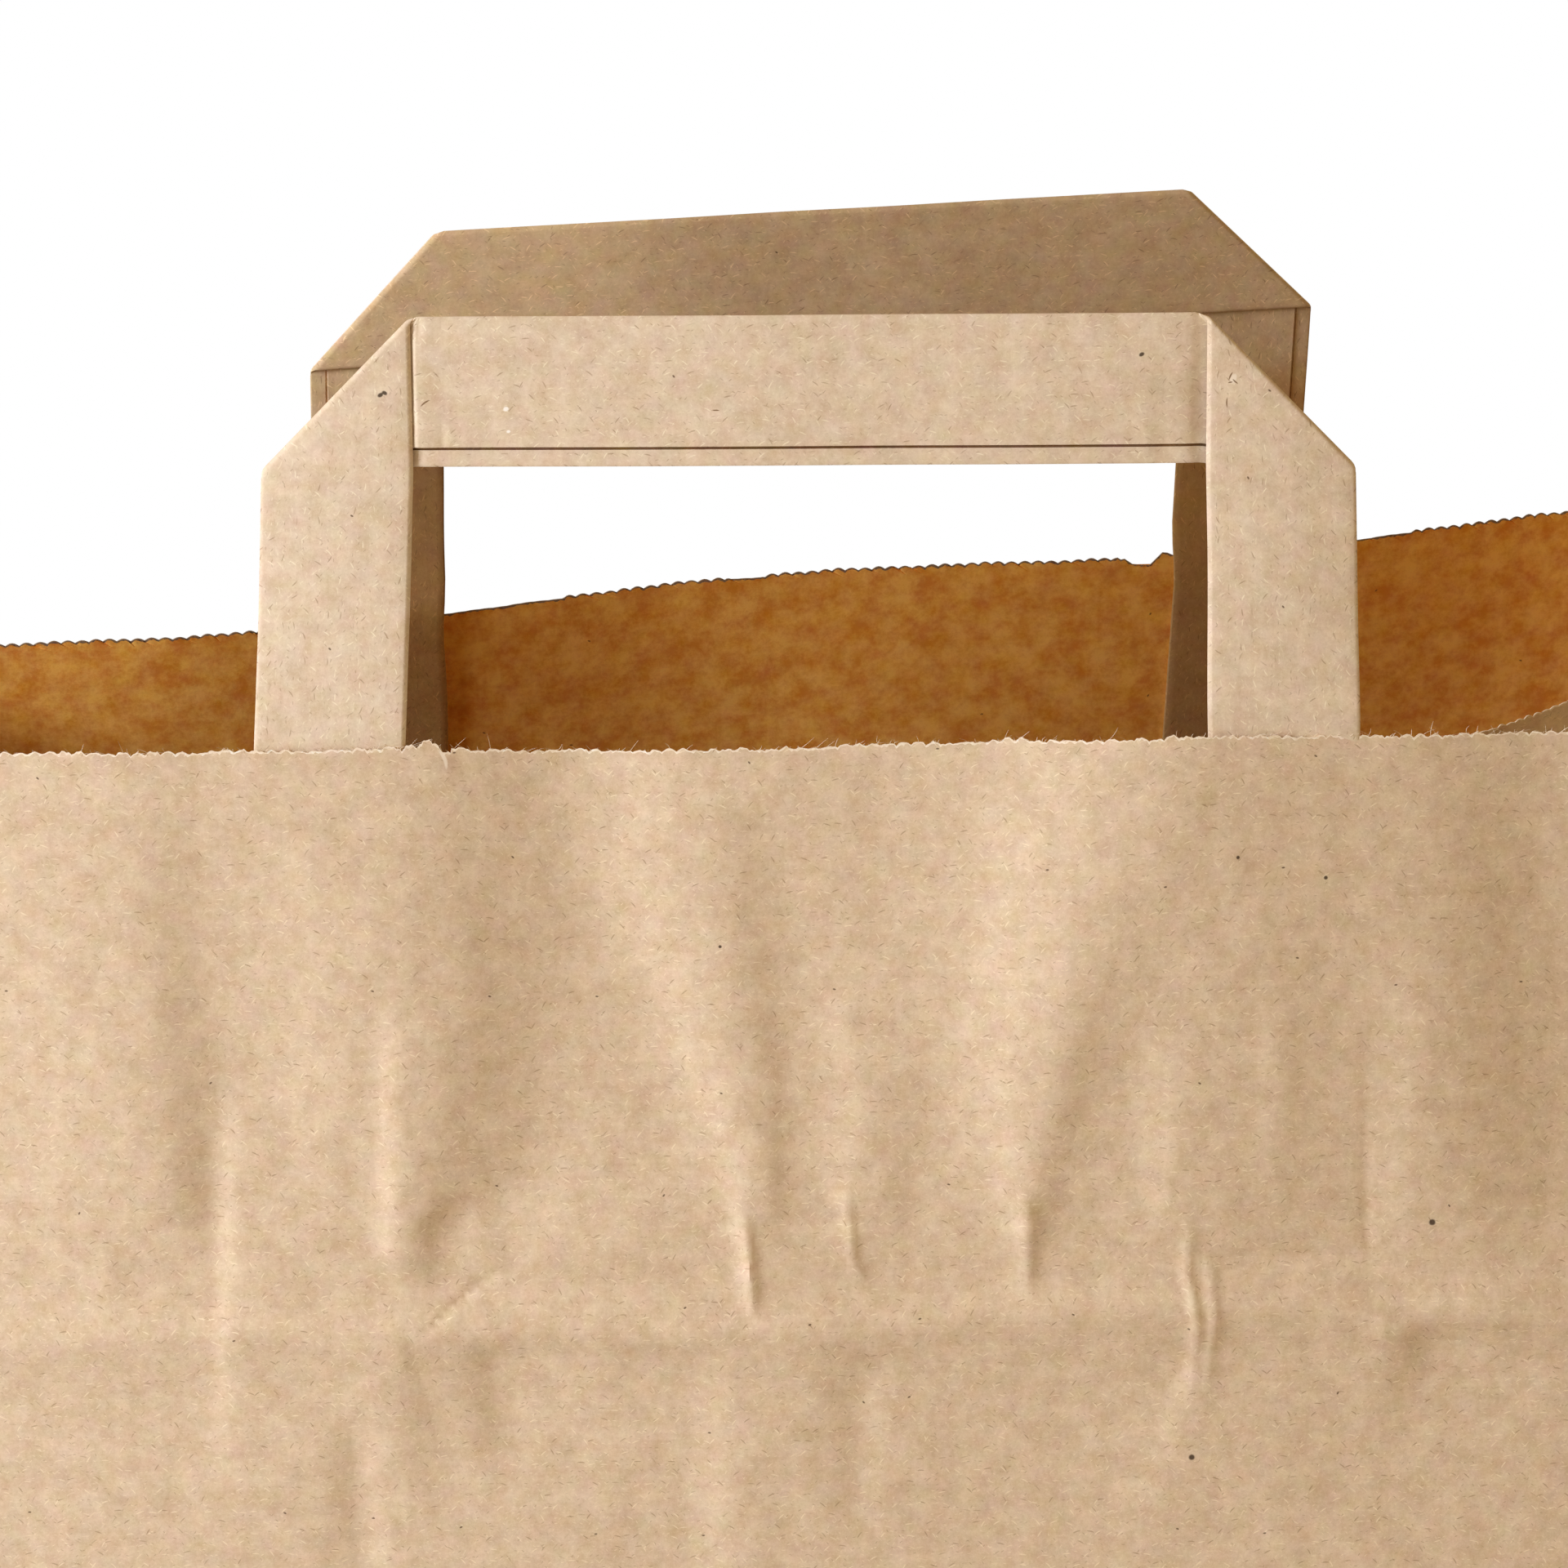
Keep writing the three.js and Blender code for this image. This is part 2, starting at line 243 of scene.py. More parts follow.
rim_wave, rim_wave_length, rim_wave_start = 3.0, 150.0, -7.0
rim_wave_fades = (110.0, 158.0)
back_rim_slack = 0.5


def back_rim_y(x):
    wave = rim_wave * np.cos(2 * math.pi * (x - rim_wave_start) / rim_wave_length)
    faded_wave = wave * (1 - smooth(np.abs(x), *rim_wave_fades))
    return front_rim_y + mouth_depth + back_rim_slack + x * math.tan(mouth_yaw) + faded_wave


def front_panel(x, up):
    return xyz(x, blend(-half_depth, front_rim_y, up), blend(bottom_z, rim_z, up))


def back_panel(x, up):
    straight = front_rim_y + mouth_depth + x * math.tan(mouth_yaw)
    waved = (back_rim_y(x) - straight) * np.clip(up, 0, 2) ** 3
    return xyz(x, blend(half_depth, straight, up) + waved, blend(bottom_z, rim_z, up))


print("rim opens", round(float(back_rim_y(0.0) - front_rim_y), 1), "mm in the middle")

# %% [markdown]
# ## Folds pressed into the front
# Carrying has buckled the front panel: soft steps run down from the rim, end in short sharp kinks, and
# meet a crease across the bag where it lay folded flat. They could be sculpted by hand, but a list of
# strokes is easier to change: each is a line down the panel with a width and a height, and the sheet's
# height is their sum.

# %% Strokes on the front panel, in millimetres
# Soft steps: depth below the rim, place across, half width, rise to the right (a fall is negative).
soft_steps = [
    [(10, -93, 6, -0.8), (20, -93, 6, -1.4), (50, -92, 5.5, -2.3), (68, -91, 4.5, -2.1), (80, -91, 4, 0)],
    [(0, -44, 14, -4.0), (14, -45, 14, -4.6), (40, -46, 13, -4.5), (60, -49, 11, -3.4), (72, -56.5, 4, -2.2),
     (78, -57.5, 3, -1.2), (86, -57, 3, 0)],
    [(0, -26.8, 10, 3.5), (20, -24.2, 8.5, 3.3), (32, -21.2, 7.2, 3.0), (47, -17.4, 5.6, 2.5),
     (60, -13, 4.5, 2.0), (70, -11, 3, 1.2), (80, -9.6, 2.2, 0.6), (90, -9.4, 2, 0)],
    [(0, 35.5, 14.5, 6.2), (15, 33, 13, 6.1), (32, 30, 11, 5.2), (50, 28, 7.5, 3.5), (65, 28.6, 4.6, 2.2),
     (75, 29.5, 3, 0.7), (88, 30, 3, 0)],
    [(0, 60, 9, -1.0), (20, 52, 7, -1.3), (41, 42.5, 5.5, -1.5), (60, 36.6, 4, -1.4), (73, 34.2, 3, -1.0),
     (82, 33.6, 3, 0)],
    [(0, 72, 12, -1.2), (20, 71, 12, -1.8), (50, 72, 11, -1.7), (72, 72, 10, -1.2), (84, 72, 10, 0)],
    [(0, 98, 11, -2.6), (20, 99, 11, -3.6), (45, 101, 11, -3.9), (68, 103, 10, -3.2), (78, 104, 9, -1.0),
     (88, 104, 9, 0)],
    [(0, 116, 5, 1.4), (20, 118, 5, 0.9), (40, 120, 5, 0)],
    [(25, 88, 5, 0), (40, 87, 4, 0.9), (72, 86, 3.5, 0.9), (82, 86, 3, 0)],
    [(6, -9, 5, 0), (16, -9, 5, -1.2), (36, -7, 4.5, -1.3), (50, -5, 4, -1.2), (68, -5, 3, -1.2),
     (78, -5, 3, 0)],
    [(28, 3, 4, 0), (42, 3.5, 3.5, 0.9), (60, 4.5, 3, 1.0), (70, 5.2, 2.5, 0.8), (77, 5.6, 2, 0)],
    [(46, 13.5, 3.5, 0), (56, 13.6, 3.5, -0.7), (69, 14, 3, -0.7), (76, 14, 3, 0)],
    [(34, -62, 2.2, 0), (46, -62.3, 2, 0.9), (68, -63, 1.8, 1.1), (75, -63.2, 1.5, 0.9), (79, -63.2, 1.4, 0)],
    [(42, 50.6, 3, 0), (52, 50.6, 2.5, 0.9), (68, 50.8, 2.5, 1.0), (78, 51, 2, 0)],
    [(36, 66, 2.5, 0), (45, 66, 2.5, 0.45), (66, 66, 2.5, 0.45), (74, 66, 2.5, 0)],
    [(8, -73, 6, 0), (20, -73.5, 5, 0.8), (50, -74, 5, 0.9), (68, -74, 4, 0.6), (76, -74, 4, 0)],
    [(50, -86, 2, 0), (60, -86.5, 2, 0.9), (76, -87, 1.9, 1.1), (86, -88, 1.8, 0.7), (100, -88.5, 1.8, 0.6),
     (110, -88.5, 2, 0)],
    [(90, -15, 3.5, 0), (98, -15, 3, 1.0), (123, -15.5, 3, 0.9), (140, -16, 3, 0)],
    [(93, 4.6, 3, 0), (100, 4.6, 2.5, -0.55), (112, 4.6, 3, -0.5), (122, 4.6, 3, 0)],
    [(93, 9.5, 3, 0), (100, 9.5, 2.5, 0.6), (112, 9, 3, 0.5), (122, 9, 3, 0)],
    [(86, -57, 4, 0), (92, -58, 5, -1.5), (104, -59, 5, -1.5), (120, -60, 5, 0)],
    [(88, -50, 3, 0), (93, -50, 3, -1.4), (104, -49, 3, -1.1), (114, -48, 3, 0)],
    [(100, -70.3, 3, 0), (108, -70.3, 3, -1.2), (130, -70.3, 3, -1.1), (150, -70.3, 3, 0)],
    [(100, -66.2, 3, 0), (108, -66.2, 2.4, 1.1), (130, -66.2, 2.4, 1.0), (150, -66.2, 3, 0)],
    [(86, 90.5, 3, 0), (90, 90, 3, -1.4), (98, 88.5, 3, -0.9), (108, 87.5, 3, 0)],
    [(92, 57, 3, 0), (98, 55.5, 3, 0.7), (110, 51, 3.5, 0.7), (124, 47, 4, 0)],
    [(0, -52.3, 0.7, -0.15), (3, -51.9, 0.7, -0.12), (6, -51.6, 0.9, 0)],
]
# Kinks: depth below the rim, place across, width to the left and right, height (a valley is negative).
kinks = [
    [(68, -11, 2.4, 1.2, 0), (73, -9.9, 1.8, 1.5, 0.7), (79, -9.4, 1.4, 1.4, 1.05),
     (84, -9.2, 1.4, 1.4, 0.85), (87, -8.6, 1.5, 1, 0)],
    [(66, 5.2, 1.8, 1.2, 0), (71, 5.4, 1.3, 0.9, 0.55), (78, 6.0, 1.3, 0.9, 0.46), (84, 8.4, 1.5, 1.2, 0)],
    [(66, 31.5, 2, 1.4, 0), (72, 31.8, 1.5, 2.2, 0.75), (80, 31.9, 1.4, 2.0, 0.7), (85, 32.1, 1.5, 1, 0)],
    [(70, 55.2, 1.1, 1.6, 0), (75, 55.9, 1.0, 1.5, 0.35), (80, 55.4, 0.8, 1.4, 0.6),
     (84, 56.4, 0.8, 1.3, 0.68), (90, 57.2, 0.8, 1.3, 0.55), (96, 56.8, 1.0, 1.5, 0.38),
     (104, 56, 1.3, 1.6, 0)],
    [(76, 59, 1.0, 1.6, 0), (81, 59, 0.8, 1.4, 0.4), (88, 59.6, 0.8, 1.4, 0.5), (95, 58.9, 0.9, 1.5, 0.35),
     (104, 58.2, 1.2, 1.6, 0)],
    [(46, 81.6, 1.4, 1.4, 0), (56, 81.7, 1.4, 1.4, -0.2), (73, 82.2, 1.2, 1.2, -0.24),
     (80, 83, 1.2, 1.2, -0.16), (98, 83.6, 1.2, 1.2, 0)],
    [(88, -61, 1.6, 1.6, 0), (91, -59.8, 1.6, 1.6, -0.14), (98, -58, 1.6, 1.6, -0.12),
     (104, -57.2, 1.6, 1.6, 0)],
    [(85, -26, 1.4, 1.4, 0), (89, -23.4, 1.3, 1.2, -0.42), (93, -20, 1.4, 1.4, 0)],
]
# Creases across: place across, depth below the rim, width above, width below, height.
cross_creases = [
    [(-160, 93, 5, 8, 0.4), (-118, 90, 4.5, 6, 1.9), (-92, 89.5, 4.5, 6, 2.0), (-78, 88, 4, 7, 1.9),
     (-60, 88, 4, 7, 1.9), (-48, 88.6, 4, 7, 2.4), (-25, 88.8, 4, 7, 2.4), (-10, 89, 4.2, 7, 2.4),
     (5, 88.8, 4.2, 7, 2.4), (20, 87.8, 4.2, 7, 2.1), (35, 87, 4.2, 7, 2.2), (48, 86.4, 4, 7, 2.2),
     (58, 86.2, 4, 6, 2.2), (66, 86, 4, 6, 2.2), (81, 86, 4, 6, 2.2), (85, 87.2, 5, 6, 2.4),
     (100, 87.6, 7, 6, 3.2), (118, 88, 7, 6, 2.8), (160, 90, 6, 8, 0.5)],
    [(-80, 81.5, 2, 1.4, 0), (-74, 82, 1.8, 1.3, -0.2), (-60, 82, 1.8, 1.3, -0.2), (-44, 82, 1.8, 1.3, -0.28),
     (-26, 82, 1.8, 1.3, -0.28), (-18, 81.5, 2, 1.4, 0)],
    [(36, 80, 1.5, 1.2, 0), (42, 79.4, 1.5, 1.2, -0.25), (54, 78.6, 1.5, 1.2, -0.25),
     (62, 78.4, 1.4, 1.1, -0.4), (80, 78.2, 1.4, 1.1, -0.4), (83, 78.5, 1.5, 1.2, 0)],
    [(-21, 76.5, 1, 1, 0), (-17.6, 75, 0.9, 0.9, -0.2), (-11, 72.2, 0.9, 0.9, -0.3),
     (6, 72.2, 0.9, 0.9, -0.32), (20, 72.4, 1, 1, -0.24), (33.3, 72, 1, 1, -0.2), (36, 72, 1, 1, 0)],
    [(-59, 89, 1, 1, 0), (-56, 87, 1, 1, -0.42), (-50, 82, 1, 1, -0.42), (-45, 78.6, 1, 1, -0.3),
     (-41, 76, 1, 1, 0)],
    [(83, 78, 1, 1, 0), (86, 75.5, 1, 1, -0.26), (90, 72.5, 1, 1, -0.16), (94, 71.5, 1, 1, 0)],
]
step_reach, step_slope = 6.0, 1.2


def values_along(stroke, place):
    """The columns of a stroke, read at each place along it."""
    table = np.array(stroke, float)
    return [np.interp(place, table[:, 0], column) for column in table.T[1:]]


def ridge(distance):
    return np.exp(1 - np.sqrt(1 + 4 * distance * distance))


def uneven_ridge(offset, before, after):
    """A ridge with its own width on each side."""
    return ridge(offset / np.where(offset < 0, before, after))


def ripples(seed, count, shortest, longest, spread=math.pi):
    """A seeded sum of plane waves: the small unevenness that all handled paper has."""
    draw = np.random.default_rng(seed)
    lengths = np.exp(draw.uniform(math.log(shortest), math.log(longest), count))
    ways = draw.uniform(-spread, spread, count)
    starts = draw.uniform(0, 2 * math.pi, count)

    def height(x, y):
        total = 0.0
        for length, way, start in zip(lengths, ways, starts):
            along = x * math.cos(way) + y * math.sin(way)
            total = total + length / longest * np.sin(2 * math.pi * along / length + start)
        return total / math.sqrt(count / 2)

    return height


fine_crumple = ripples(4, 40, 5, 26)
wide_waves = ripples(9, 14, 50, 140)
upright_waves = ripples(15, 30, 8, 36, 0.3)
fine_height, wide_height, upright_height = 0.05, 0.4, 0.07
fades_aside, fades_below = (128, 158), (225, 265)


def keep_corners(x, below):
    """Fades the folds out towards the side creases and the bottom fold, which stay straight."""
    return (1 - smooth(np.abs(x), *fades_aside)) * (1 - smooth(below, *fades_below))


def front_relief(x, below):
    x, below = np.broadcast_arrays(np.asarray(x, float), np.asarray(below, float))
    height = fine_height * fine_crumple(x, below) + wide_height * wide_waves(x, below) * smooth(below, 0, 60)
    height = height + upright_height * upright_waves(x, below) * smooth(below, 0, 20)
    for stroke in soft_steps:
        middle, width, rise = values_along(stroke, below)
        offset = (x - middle) / width
        height = height + rise / 2 * np.tanh(step_slope * offset) * np.exp(-(offset / step_reach) ** 2)
    for stroke in kinks:
        middle, left_width, right_width, rise = values_along(stroke, below)
        height = height + rise * uneven_ridge(x - middle, left_width, right_width)
    for stroke in cross_creases:
        middle, above, under, rise = values_along(stroke, x)
        height = height + rise * uneven_ridge(below - middle, above, under)
    return height * keep_corners(x, below)


back_crumple = ripples(21, 40, 6, 30)
back_waves = ripples(33, 16, 45, 130)
back_crumple_height, back_wave_height = 0.06, 0.7
back_crease = [(-160, 88, 5, 4, 0.3), (-60, 84, 4, 4, 0.55), (20, 87, 4, 4, 0.5), (90, 83, 4, 4, 0.5),
               (160, 86, 5, 5, 0.3)]


def back_relief(x, below):
    middle, above, under, rise = values_along(back_crease, x)
    creased = rise * uneven_ridge(below - middle, above, under)
    waved = back_wave_height * back_waves(x, below) * smooth(below, 0, 50)
    return (creased + back_crumple_height * back_crumple(x, below) + waved) * keep_corners(x, below)


def front_sheet(x, up):
    return front_panel(x, up) + front_relief(x, (1 - up) * panel_height)[..., None] * front_outward


def back_sheet(x, up):
    x, up = np.broadcast_arrays(np.asarray(x, float), np.asarray(up, float))
    return back_panel(x, up) + xyz(0, back_relief(x, (1 - up) * panel_height), 0)


sample = front_relief(*np.meshgrid(np.linspace(-118, 118, 119), np.linspace(0, 127, 64)))
print(f"front folds from {sample.min():.1f} to {sample.max():.1f} mm")
print(f"{len(soft_steps)} soft steps, {len(kinks)} kinks and {len(cross_creases)} creases across")

# %% [markdown]
# ## Gussets
# At each side the sheet is folded inward: two half panels meet in a crease that leans into the bag's
# mouth, above a triangle that the block bottom pulls flat. Each half is a blend between the crease and
# the panel's corner, bowed as paper is that wants to stay flat.

# %% Gusset surfaces
gusset_bow = 0.8
fold_start_inset = 6.0
folds = {
    1: {"inset": 68.0, "behind_front": 20.0, "drop": 9.0},
    -1: {"inset": 60.0, "behind_front": 14.0, "drop": 14.0},
}
gusset_ripples = ripples(57, 24, 14, 60)
gusset_ripple_height, gusset_ripples_apart = 0.35, 200.0
# How the buckled front rim sinks and rises: place across, height.
front_sway = [(-120, 0), (-90, -0.3), (-53, -0.2), (-40, -1.5), (-10, -1.2), (0, -1.0), (20, -0.2), (35, 0.5),
              (47, 1.1), (59, 1.6), (72, 1.3), (87, 0.9), (111, 0.6), (140, 0)]
sway_fades = (0.75, 1)


def rim_profile(points, x):
    table = np.array(points)
    return np.interp(x, table[:, 0], table[:, 1], left=0, right=0)


def gusset_crease(side, up):
    fold = folds[side]
    start = np.array([side * (half_width - fold_start_inset), 0, bottom_z + half_depth])
    end_x, end_y = side * (half_width - fold["inset"]), front_rim_y + fold["behind_front"]
    end = np.array([end_x, end_y, rim_z - fold["drop"]])
    return blend(start, end, np.asarray(up, float)[..., None])


def gusset_half(side, panel, share, up):
    """share runs from 0 at the crease to 1 at the panel's corner."""
    share, up = np.broadcast_arrays(np.asarray(share, float), np.asarray(up, float))
    crease = gusset_crease(side, up)
    corner = panel(np.full_like(up, side * half_width), up)
    bowed = share ** (1 + gusset_bow * np.clip(up, 0, 2))
    point = blend(crease, corner, bowed[..., None])
    point[..., 0] = blend(crease[..., 0], corner[..., 0], share)
    held = 4 * share * (1 - share)
    waves = gusset_ripples(half_depth * share + gusset_ripples_apart * side, panel_height * up)
    point[..., 1] += gusset_ripple_height * held * waves
    return point


def around(part, share, up):
    """The sheet's outer face in six parts: front, right gusset's halves, back, left gusset's halves."""
    if part == 0:
        x = blend(-half_width, half_width, share)
        return front_sheet(x, up + rim_profile(front_sway, x) * smooth(up, *sway_fades) / panel_height)
    if part == 3:
        return back_sheet(blend(half_width, -half_width, share), up)
    side = 1 if part < 3 else -1
    panel = front_sheet if part in (1, 5) else back_sheet
    return gusset_half(side, panel, share if part in (2, 5) else 1 - share, up)


flat_widths = [2 * half_width, half_depth, half_depth, 2 * half_width, half_depth, half_depth]
flat_starts = np.concatenate([[0], np.cumsum(flat_widths)])
print(f"flat sheet {flat_starts[-1]:.0f} mm around")

# %% [markdown]
# ## The cut rim
# The sheet is torn off against a toothed blade, so its rim is a row of small scallops. Some are worn
# away, the back has a notch and the front a short tear with a lip that curls up. The rim is a height
# along the edge: scallops from one formula, and a few named exceptions.

# %% Rim heights, in millimetres
tooth_pitch = 2.14
tooth_depths = [0.4, 0.5, 0.5, 0.55, 0.5, 0.5]
tooth_sizes = np.random.default_rng(31).uniform(0.25, 1.3, 211)
steps_per_tooth = 6
worn_stretches = {0: [(-30, -26), (20, 25), (70, 73)], 3: [(-56, -38), (-11.5, -7), (87, 97)]}
tear = [(-59.2, 0), (-58.9, -0.25), (-58.4, 0.55), (-57.4, 0.72), (-57.0, 0.38), (-56.8, 0.1),
        (-56.6, 0.56), (-56.3, 0.78), (-55.7, 1.34), (-55.0, 1.44), (-54.55, 0.83), (-53.7, 0.49),
        (-53.4, -0.06), (-53.1, -0.5), (-51.95, -0.4), (-51.8, -0.05), (-51.4, 0)]
notch = [(50.0, 0), (50.6, 0.1), (52.0, -1.1), (54.6, -1.4), (56.6, 1.0), (57.4, 0.9), (59, 0)]
tear_fades = (1.5, 12.0)
wear_share = 0.9
frayed_height = 0.08
# Slow and quick unevenness of the cut: height, length and start.
cut_waves = ((0.07, 3.7, 1), (0.05, 1.3, 2))
back_tooth_least, back_tooth_share = 0.7, 0.25


def rim_height(part, share, rim_length):
    """How far the cut edge stands above the straight rim."""
    place = share * rim_length
    wear = np.ones_like(place)
    extra = np.zeros_like(place)
    if part in (0, 3):
        x = blend(-half_width, half_width, share) if part == 0 else blend(half_width, -half_width, share)
        for start, end in worn_stretches[part]:
            wear = wear * (1 - smooth(x, start - 1, start) * (1 - smooth(x, end, end + 1)) * wear_share)
        special = tear if part == 0 else notch
        extra = rim_profile(special, x)
        first, last = special[0][0], special[-1][0]
        wear = wear * (1 - smooth(x, first - 0.4, first) * (1 - smooth(x, last, last + 0.4)))
    uneven = sum(height * np.sin(place / length + start * part) for height, length, start in cut_waves)
    if part == 0:
        uneven = uneven + np.random.default_rng(5).normal(0, frayed_height, place.shape)
    sizes = tooth_sizes[np.floor(place / tooth_pitch).astype(int) % len(tooth_sizes)]
    if part == 3:
        sizes = back_tooth_least + back_tooth_share * sizes
    scallops = np.abs(np.sin(math.pi * place / tooth_pitch))
    return wear * sizes * tooth_depths[part] * scallops + extra + uneven


def rim_shares(part):
    """Places along one part's rim: a few for each tooth, and the corners of the tear or notch."""
    ends = around(part, np.array([0.0, 1.0]), np.array([1.0, 1.0]))
    length = float(np.linalg.norm(ends[1] - ends[0]))
    teeth = max(1, round(length / tooth_pitch))
    shares = np.arange(teeth * steps_per_tooth) / (teeth * steps_per_tooth)
    if part in (0, 3):
        corners = np.array([x for x, _ in (tear if part == 0 else notch)])
        extra = (corners + half_width) / (2 * half_width)
        shares = np.union1d(shares, extra if part == 0 else 1 - extra)
    return shares, teeth * tooth_pitch


print("teeth on the front rim:", round(2 * half_width / tooth_pitch))

# %% [markdown]
# ## The sheet as rings
# A folded tube is easiest to build as rings stacked from the bottom to the rim. The photographed top
# needs a fine mesh and the plain bottom does not, so rings may hold different numbers of points: a small
# routine walks along two rings at once and fills the gap with triangles. The inner face is the outer one
# moved in by the paper's thickness.

# %% Rings
fine_depth = 130.0
kink_zones = [(-90, -82), (-65, -60.5), (-60, -47), (-13, -4), (4, 11), (31, 37), (52.5, 62), (80, 86)]
folded_reach = 122
side_step, plain_step, kink_step = 3.2, 1.55, 0.62


def spaced(start, end, step):
    count = max(1, round(abs(end - start) / step))
    return np.linspace(start, end, count + 1)


def front_columns():
    """Places across the front: close together where the sheet has sharp kinks, wide apart at the sides."""
    stops = [-folded_reach] + [edge for zone in kink_zones for edge in zone] + [folded_reach]
    sides = [spaced(-half_width, -folded_reach, side_step), spaced(folded_reach, half_width, side_step)]
    runs = sides + [np.array([x for x, _ in tear])]
    for start, end in zip(stops, stops[1:]):
        runs.append(spaced(start, end, kink_step if (start, end) in kink_zones else plain_step))
    columns = np.unique(np.round(np.concatenate(runs), 3))
    return (columns + half_width) / (2 * half_width)


coarse_panel = np.linspace(0, 1, 65)
gusset_steps = np.linspace(0, 1, 15)
back_columns = np.linspace(0, 1, 101)
fine_shares = [front_columns(), gusset_steps, gusset_steps, back_columns, gusset_steps, gusset_steps]
coarse_shares = [coarse_panel, gusset_steps, gusset_steps, coarse_panel, gusset_steps, gusset_steps]
low_rows = spaced(panel_height, fine_depth, 4.2)[:-1]
row_runs = [(fine_depth, 100, 2.2), (100, 66, 0.92), (66, 8, 2.2), (8, 1.3, 1.1)]
high_rows = np.concatenate([[fine_depth]] + [spaced(*run)[1:] for run in row_runs])


class Sheet:
    """Points and triangles of the sheet's outer face, with each triangle's finish zone and flat place."""

    def __init__(self):
        self.points = []
        self.flat = []
        self.faces = []
        self.zones = []

    def add_points(self, points, flat):
        first = len(self.points)
        self.points.extend(points)
        self.flat.extend(flat)
        return list(range(first, len(self.points)))

    def add_ring(self, shares, height_of):
        """One ring: height_of(part, share) gives the share of the panel's height."""
        names, places = [], []
        for part, part_shares in enumerate(shares):
            kept = part_shares[part_shares < 1]
            up = height_of(part, kept)
            flat = np.stack([flat_starts[part] + kept * flat_widths[part], up * panel_height], axis=-1)
            names += self.add_points(around(part, kept, up), flat)
            places.append(part + kept)
        return names, np.concatenate(places)

    def add_face(self, corners, zone):
        if len(set(corners)) == 3:
            self.faces.append(tuple(corners))
            self.zones.append(zone)

    def stitch(self, low, low_at, high, high_at, zone_of, closed=True):
        """Fills the gap between two rows of points with triangles, walking along both at once."""
        if closed:
            low, high = low + low[:1], high + high[:1]
            low_at = np.append(low_at, len(flat_widths))
            high_at = np.append(high_at, len(flat_widths))
        at_low = at_high = 0
        while at_low < len(low) - 1 or at_high < len(high) - 1:
            low_ends = at_low == len(low) - 1
            high_ends = at_high == len(high) - 1
            if high_ends or (not low_ends and low_at[at_low + 1] <= high_at[at_high + 1]):
                corners = (low[at_low], low[at_low + 1], high[at_high])
                zone = zone_of(low_at[at_low])
                at_low += 1
            else:
                corners = (low[at_low], high[at_high + 1], high[at_high])
                zone = zone_of(high_at[at_high])
                at_high += 1
            self.add_face(corners, zone)


def zone_at(place):
    return "panel" if int(place) in (0, 3) else "gusset"


def lowered_by_tear(below):
    """Rows near the front rim dip under the tear, so that they never cross it."""
    weight = 1 - float(smooth(below, *tear_fades))

    def height(part, share):
        dip = np.zeros_like(share)
        if part == 0:
            dip = np.minimum(rim_profile(tear, blend(-half_width, half_width, share)), 0) * weight
        return 1 + (dip - below) / panel_height

    return height


sheet = Sheet()
rings = [sheet.add_ring(coarse_shares, lowered_by_tear(below)) for below in low_rows]
rings += [sheet.add_ring(fine_shares, lowered_by_tear(below)) for below in high_rows]
for (low, low_at), (high, high_at) in zip(rings, rings[1:]):
    sheet.stitch(low, low_at, high, high_at, zone_at)
print(f"{len(rings)} rings, {len(sheet.faces)} triangles so far")

# %% The rim: a frayed band up to the cut, pale at the front and darkened with painted shade at the back
rims = [rim_shares(part) for part in range(len(flat_widths))]
rim_places = [shares for shares, _ in rims]
fray_draw = np.random.default_rng(12)
fray_least, fray_extra = 0.14, 0.34
fray_widths = [fray_least + fray_extra * fray_draw.random(len(shares)) ** 2 for shares in rim_places]


def rim_up(part, share):
    return 1 + rim_height(part, share, rims[part][1]) / panel_height


def fray_up(part, share):
    return rim_up(part, share) - fray_widths[part][: len(share)] / panel_height


fray_ring = sheet.add_ring(rim_places, fray_up)
rim_ring = sheet.add_ring(rim_places, rim_up)
sheet.stitch(*rings[-1], *fray_ring, zone_at)
sheet.stitch(*fray_ring, *rim_ring, lambda place: "back_edge" if int(place) == 3 else "edge")
print(f"{len(rim_ring[0])} points on the cut edge")

# %% [markdown]
# ## Block bottom
# Below, the sheet closes into a flat rectangle, with a triangle up each side and two flaps glued over
# each other underneath. The triangles and the rectangle share the lowest ring's points, so the sheet
# stays one piece.

# %% Bottom and side triangles
triangles_flat, triangles_apart = flat_starts[-1] + 200, 90.0
bottom_flat = flat_starts[-1] + 600


def ring_part(ring, part):
    """The points of one part of a ring, with the first point of the next."""
    names, places = ring
    found = [name for name, place in zip(names, places) if int(place) == part]
    following = [name for name, place in zip(names, places) if int(place) == (part + 1) % len(flat_widths)]
    return found + following[:1]


def side_triangle(crease_rows, side):
    """Rows from the point of the triangle down to the bottom fold, between the two diagonal creases."""
    first, second = crease_rows
    rows = [([first[0]], np.array([0.0]))]
    for step in range(1, len(first)):
        inner = np.linspace(0, 1, 2 * step + 1)
        start, end = (np.array(sheet.points[name]) for name in (first[step], second[step]))
        places = blend(start, end, inner[1:-1, None])
        flat = np.stack([triangles_flat + side * triangles_apart + places[:, 1], places[:, 2]], axis=-1)
        rows.append(([first[step]] + sheet.add_points(places, flat) + [second[step]], inner))
    for (high, high_at), (low, low_at) in zip(rows, rows[1:]):
        sheet.stitch(low, low_at, high, high_at, lambda place: "gusset", closed=False)
    return rows[-1][0]


